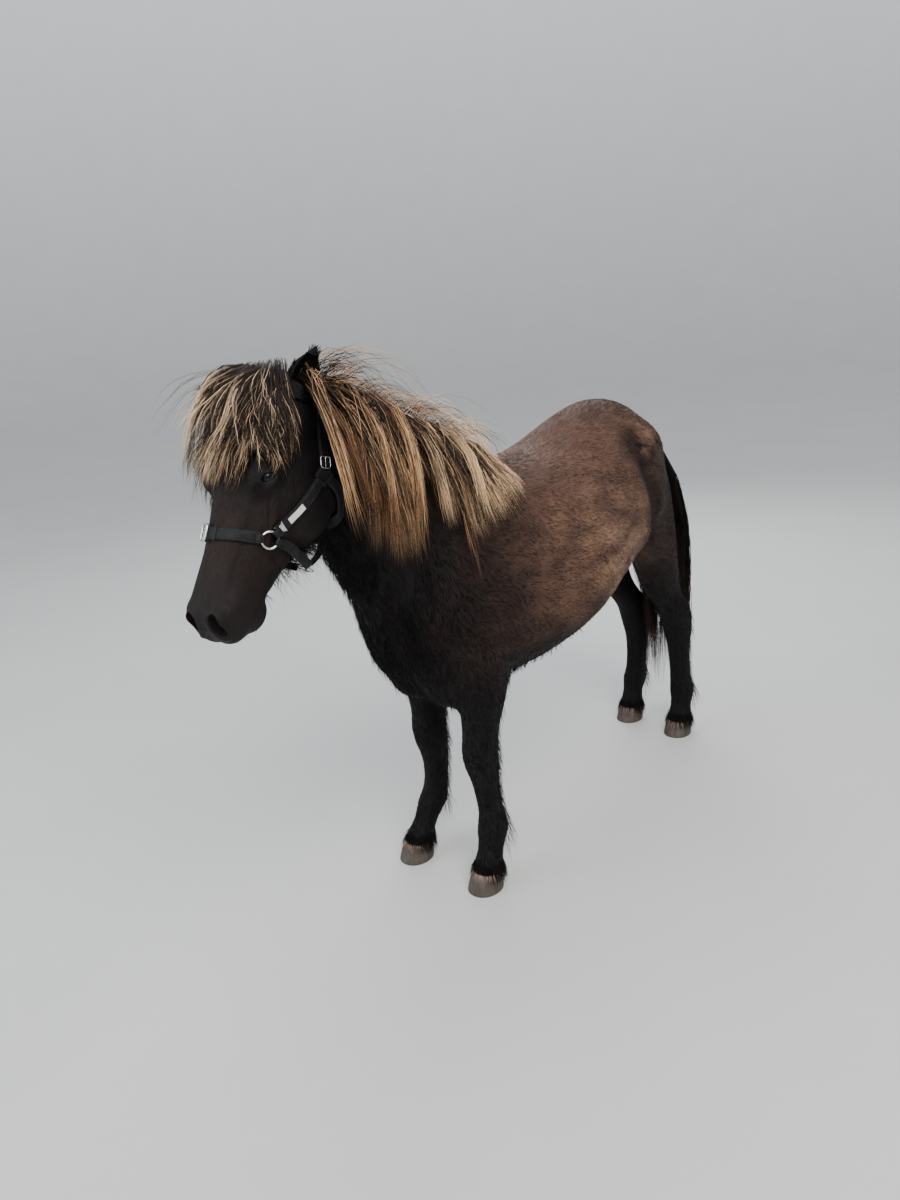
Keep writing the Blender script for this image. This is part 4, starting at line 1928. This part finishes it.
def area(name, place, target, size, power, colour):
    lamp = bpy.data.lights.new(name, "AREA")
    lamp.energy = power
    lamp.size = size
    lamp.color = colour
    obj = bpy.data.objects.new(name, lamp)
    way = Vector(target) - Vector(place)
    obj.matrix_world = Matrix.Translation(place) @ way.to_track_quat("-Z", "Y").to_matrix().to_4x4()
    bpy.context.scene.collection.objects.link(obj)


# Floor: how far it runs level, and the sweep that carries it up behind
FLOOR_FLAT = 12.0
FLOOR_SWEEP = 10.0
FLOOR_TOP = 24.0
FLOOR_GLOW = 0.46


def sweep():
    """A level floor that curves up all round, so that no line shows behind."""
    rows = [(0.0, 0.0), (3.0, 0.0), (FLOOR_FLAT, 0.0)]
    for k in range(1, 25):
        angle = math.radians(90 * k / 24)
        rows.append((FLOOR_FLAT + FLOOR_SWEEP * math.sin(angle), FLOOR_SWEEP * (1 - math.cos(angle))))
    rows.append((FLOOR_FLAT + FLOOR_SWEEP, FLOOR_TOP))
    points, faces = [], []
    for far, level in rows[1:]:
        for k in range(96):
            angle = 2 * math.pi * k / 96
            points.append((far * math.cos(angle), far * math.sin(angle), level))
    for row in range(len(rows) - 2):
        for k in range(96):
            a, b = row * 96 + k, row * 96 + (k + 1) % 96
            faces.append((a, a + 96, b + 96, b))
    faces.append(tuple(range(96)))
    return mesh_object("floor", points, faces)


def studio():
    """A pale sweep, an even sky and three soft lights."""
    world = bpy.data.worlds.new("studio")
    world.use_nodes = True
    world.node_tree.nodes["Background"].inputs["Color"].default_value = (0.80, 0.84, 0.90, 1)
    world.node_tree.nodes["Background"].inputs["Strength"].default_value = 1.10
    bpy.context.scene.world = world
    area("key", (1.6, 2.6, 3.4), (0, 0, 0.6), 2.6, 195, (1.0, 0.97, 0.93))
    area("fill", (3.2, -1.4, 1.8), (0.2, 0, 0.6), 2.4, 60, (0.90, 0.95, 1.0))
    area("back", (-2.6, -1.6, 2.8), (0, 0, 0.7), 2.6, 85, (0.95, 0.97, 1.0))
    floor = sweep()
    floor.data.shade_smooth()
    look = Look("floor_pale", Roughness=0.8, Emission_Color=(0.96, 0.98, 1.0, 1))
    look.graded(look.noise(look.place(), 1.6, 3.0), (0.50, 0.50, 0.49), (0.56, 0.56, 0.55))
    rise = {"Value": look.node("ShaderNodeSeparateXYZ", "Z", Vector=look.place()), "From_Min": 0.2}
    rise.update(From_Max=FLOOR_SWEEP, To_Min=0.0, To_Max=FLOOR_GLOW)
    look.fill(look.shader, Emission_Strength=look.node("ShaderNodeMapRange", "Result", **rise))
    floor.data.materials.append(look.made)


def unwrapped(obj):
    """A map of the skin's own shape."""
    bpy.context.view_layer.objects.active = obj
    obj.select_set(True)
    obj.data.uv_layers.new(name=MAP_NAME)
    bpy.ops.object.mode_set(mode="EDIT")
    bpy.ops.mesh.select_all(action="SELECT")
    bpy.ops.uv.smart_project(angle_limit=math.radians(70), island_margin=0.001)
    bpy.ops.object.mode_set(mode="OBJECT")
    obj.select_set(False)


def with_lids(skin):
    folds = [lid(side, *fold) for side in (1, -1) for fold in LID_FOLDS]
    return join("skin", [skin] + folds)


def main():
    """Makes every piece, gives each its look, its body, the nodes it stands for and its slot."""
    skin = with_lids(made_skin())
    unwrapped(skin)
    points = points_of(skin)
    painted(skin.data, coat_colour(points))
    lie = skin.data.attributes.new("lie", "FLOAT_VECTOR", "POINT")
    lie.data.foreach_set("vector", lie_places(points).astype(np.float32).ravel())
    skin.data.shade_smooth()
    surface = Surface(skin)
    coats = short_coat(surface)
    fringe = fringes(surface) + ear_hairs(surface) + lashes(surface)
    falls = mane(surface)
    brow = forelock(surface)
    dock = tail(surface)

    tuft_look = hair_look("coat_tufts", 0.58, 0.10, 0.6, 1.4)
    long_look = hair_look("long_hair", 0.50, 0.16, 0.7, 1.3)
    with_look(skin, coat_look(), FLESH)
    for piece in coats:
        with_look(piece, tuft_look, ())
    with_look(fringe[0], tuft_look, FEATHERS)
    with_look(falls[0], long_look, ("mane",))
    for piece in fringe[1:] + falls[1:]:
        with_look(piece, long_look, ())
    with_look(brow[0], long_look, ("forelock",))
    with_look(dock[0], long_look, ("tail",))
    horn, wet = horn_look(), eye_look()
    for side, word in ((1, "left"), (-1, "right")):
        with_look(eyeball(side), wet, (f"eye_{word}",))
        for rows, end in ((FORE_LEG, "fore"), (HIND_LEG, "hind")):
            name = f"hoof_{end}_{word}"
            with_look(hoof_shell(rows, side, f"{name}_wall"), horn, (name,))
    webbing, steel, patch, thread = head_collar(surface)
    straps = [n for n in frame["nodes"] if n.startswith("halter") and n not in NOT_WEB]
    with_look(webbing, web_look(), straps)
    with_look(thread, thread_look(), ())
    with_look(steel, steel_look(), METAL)
    with_look(patch, patch_look(), ("halter_patch",))
    studio()
    aimed_camera()


main()
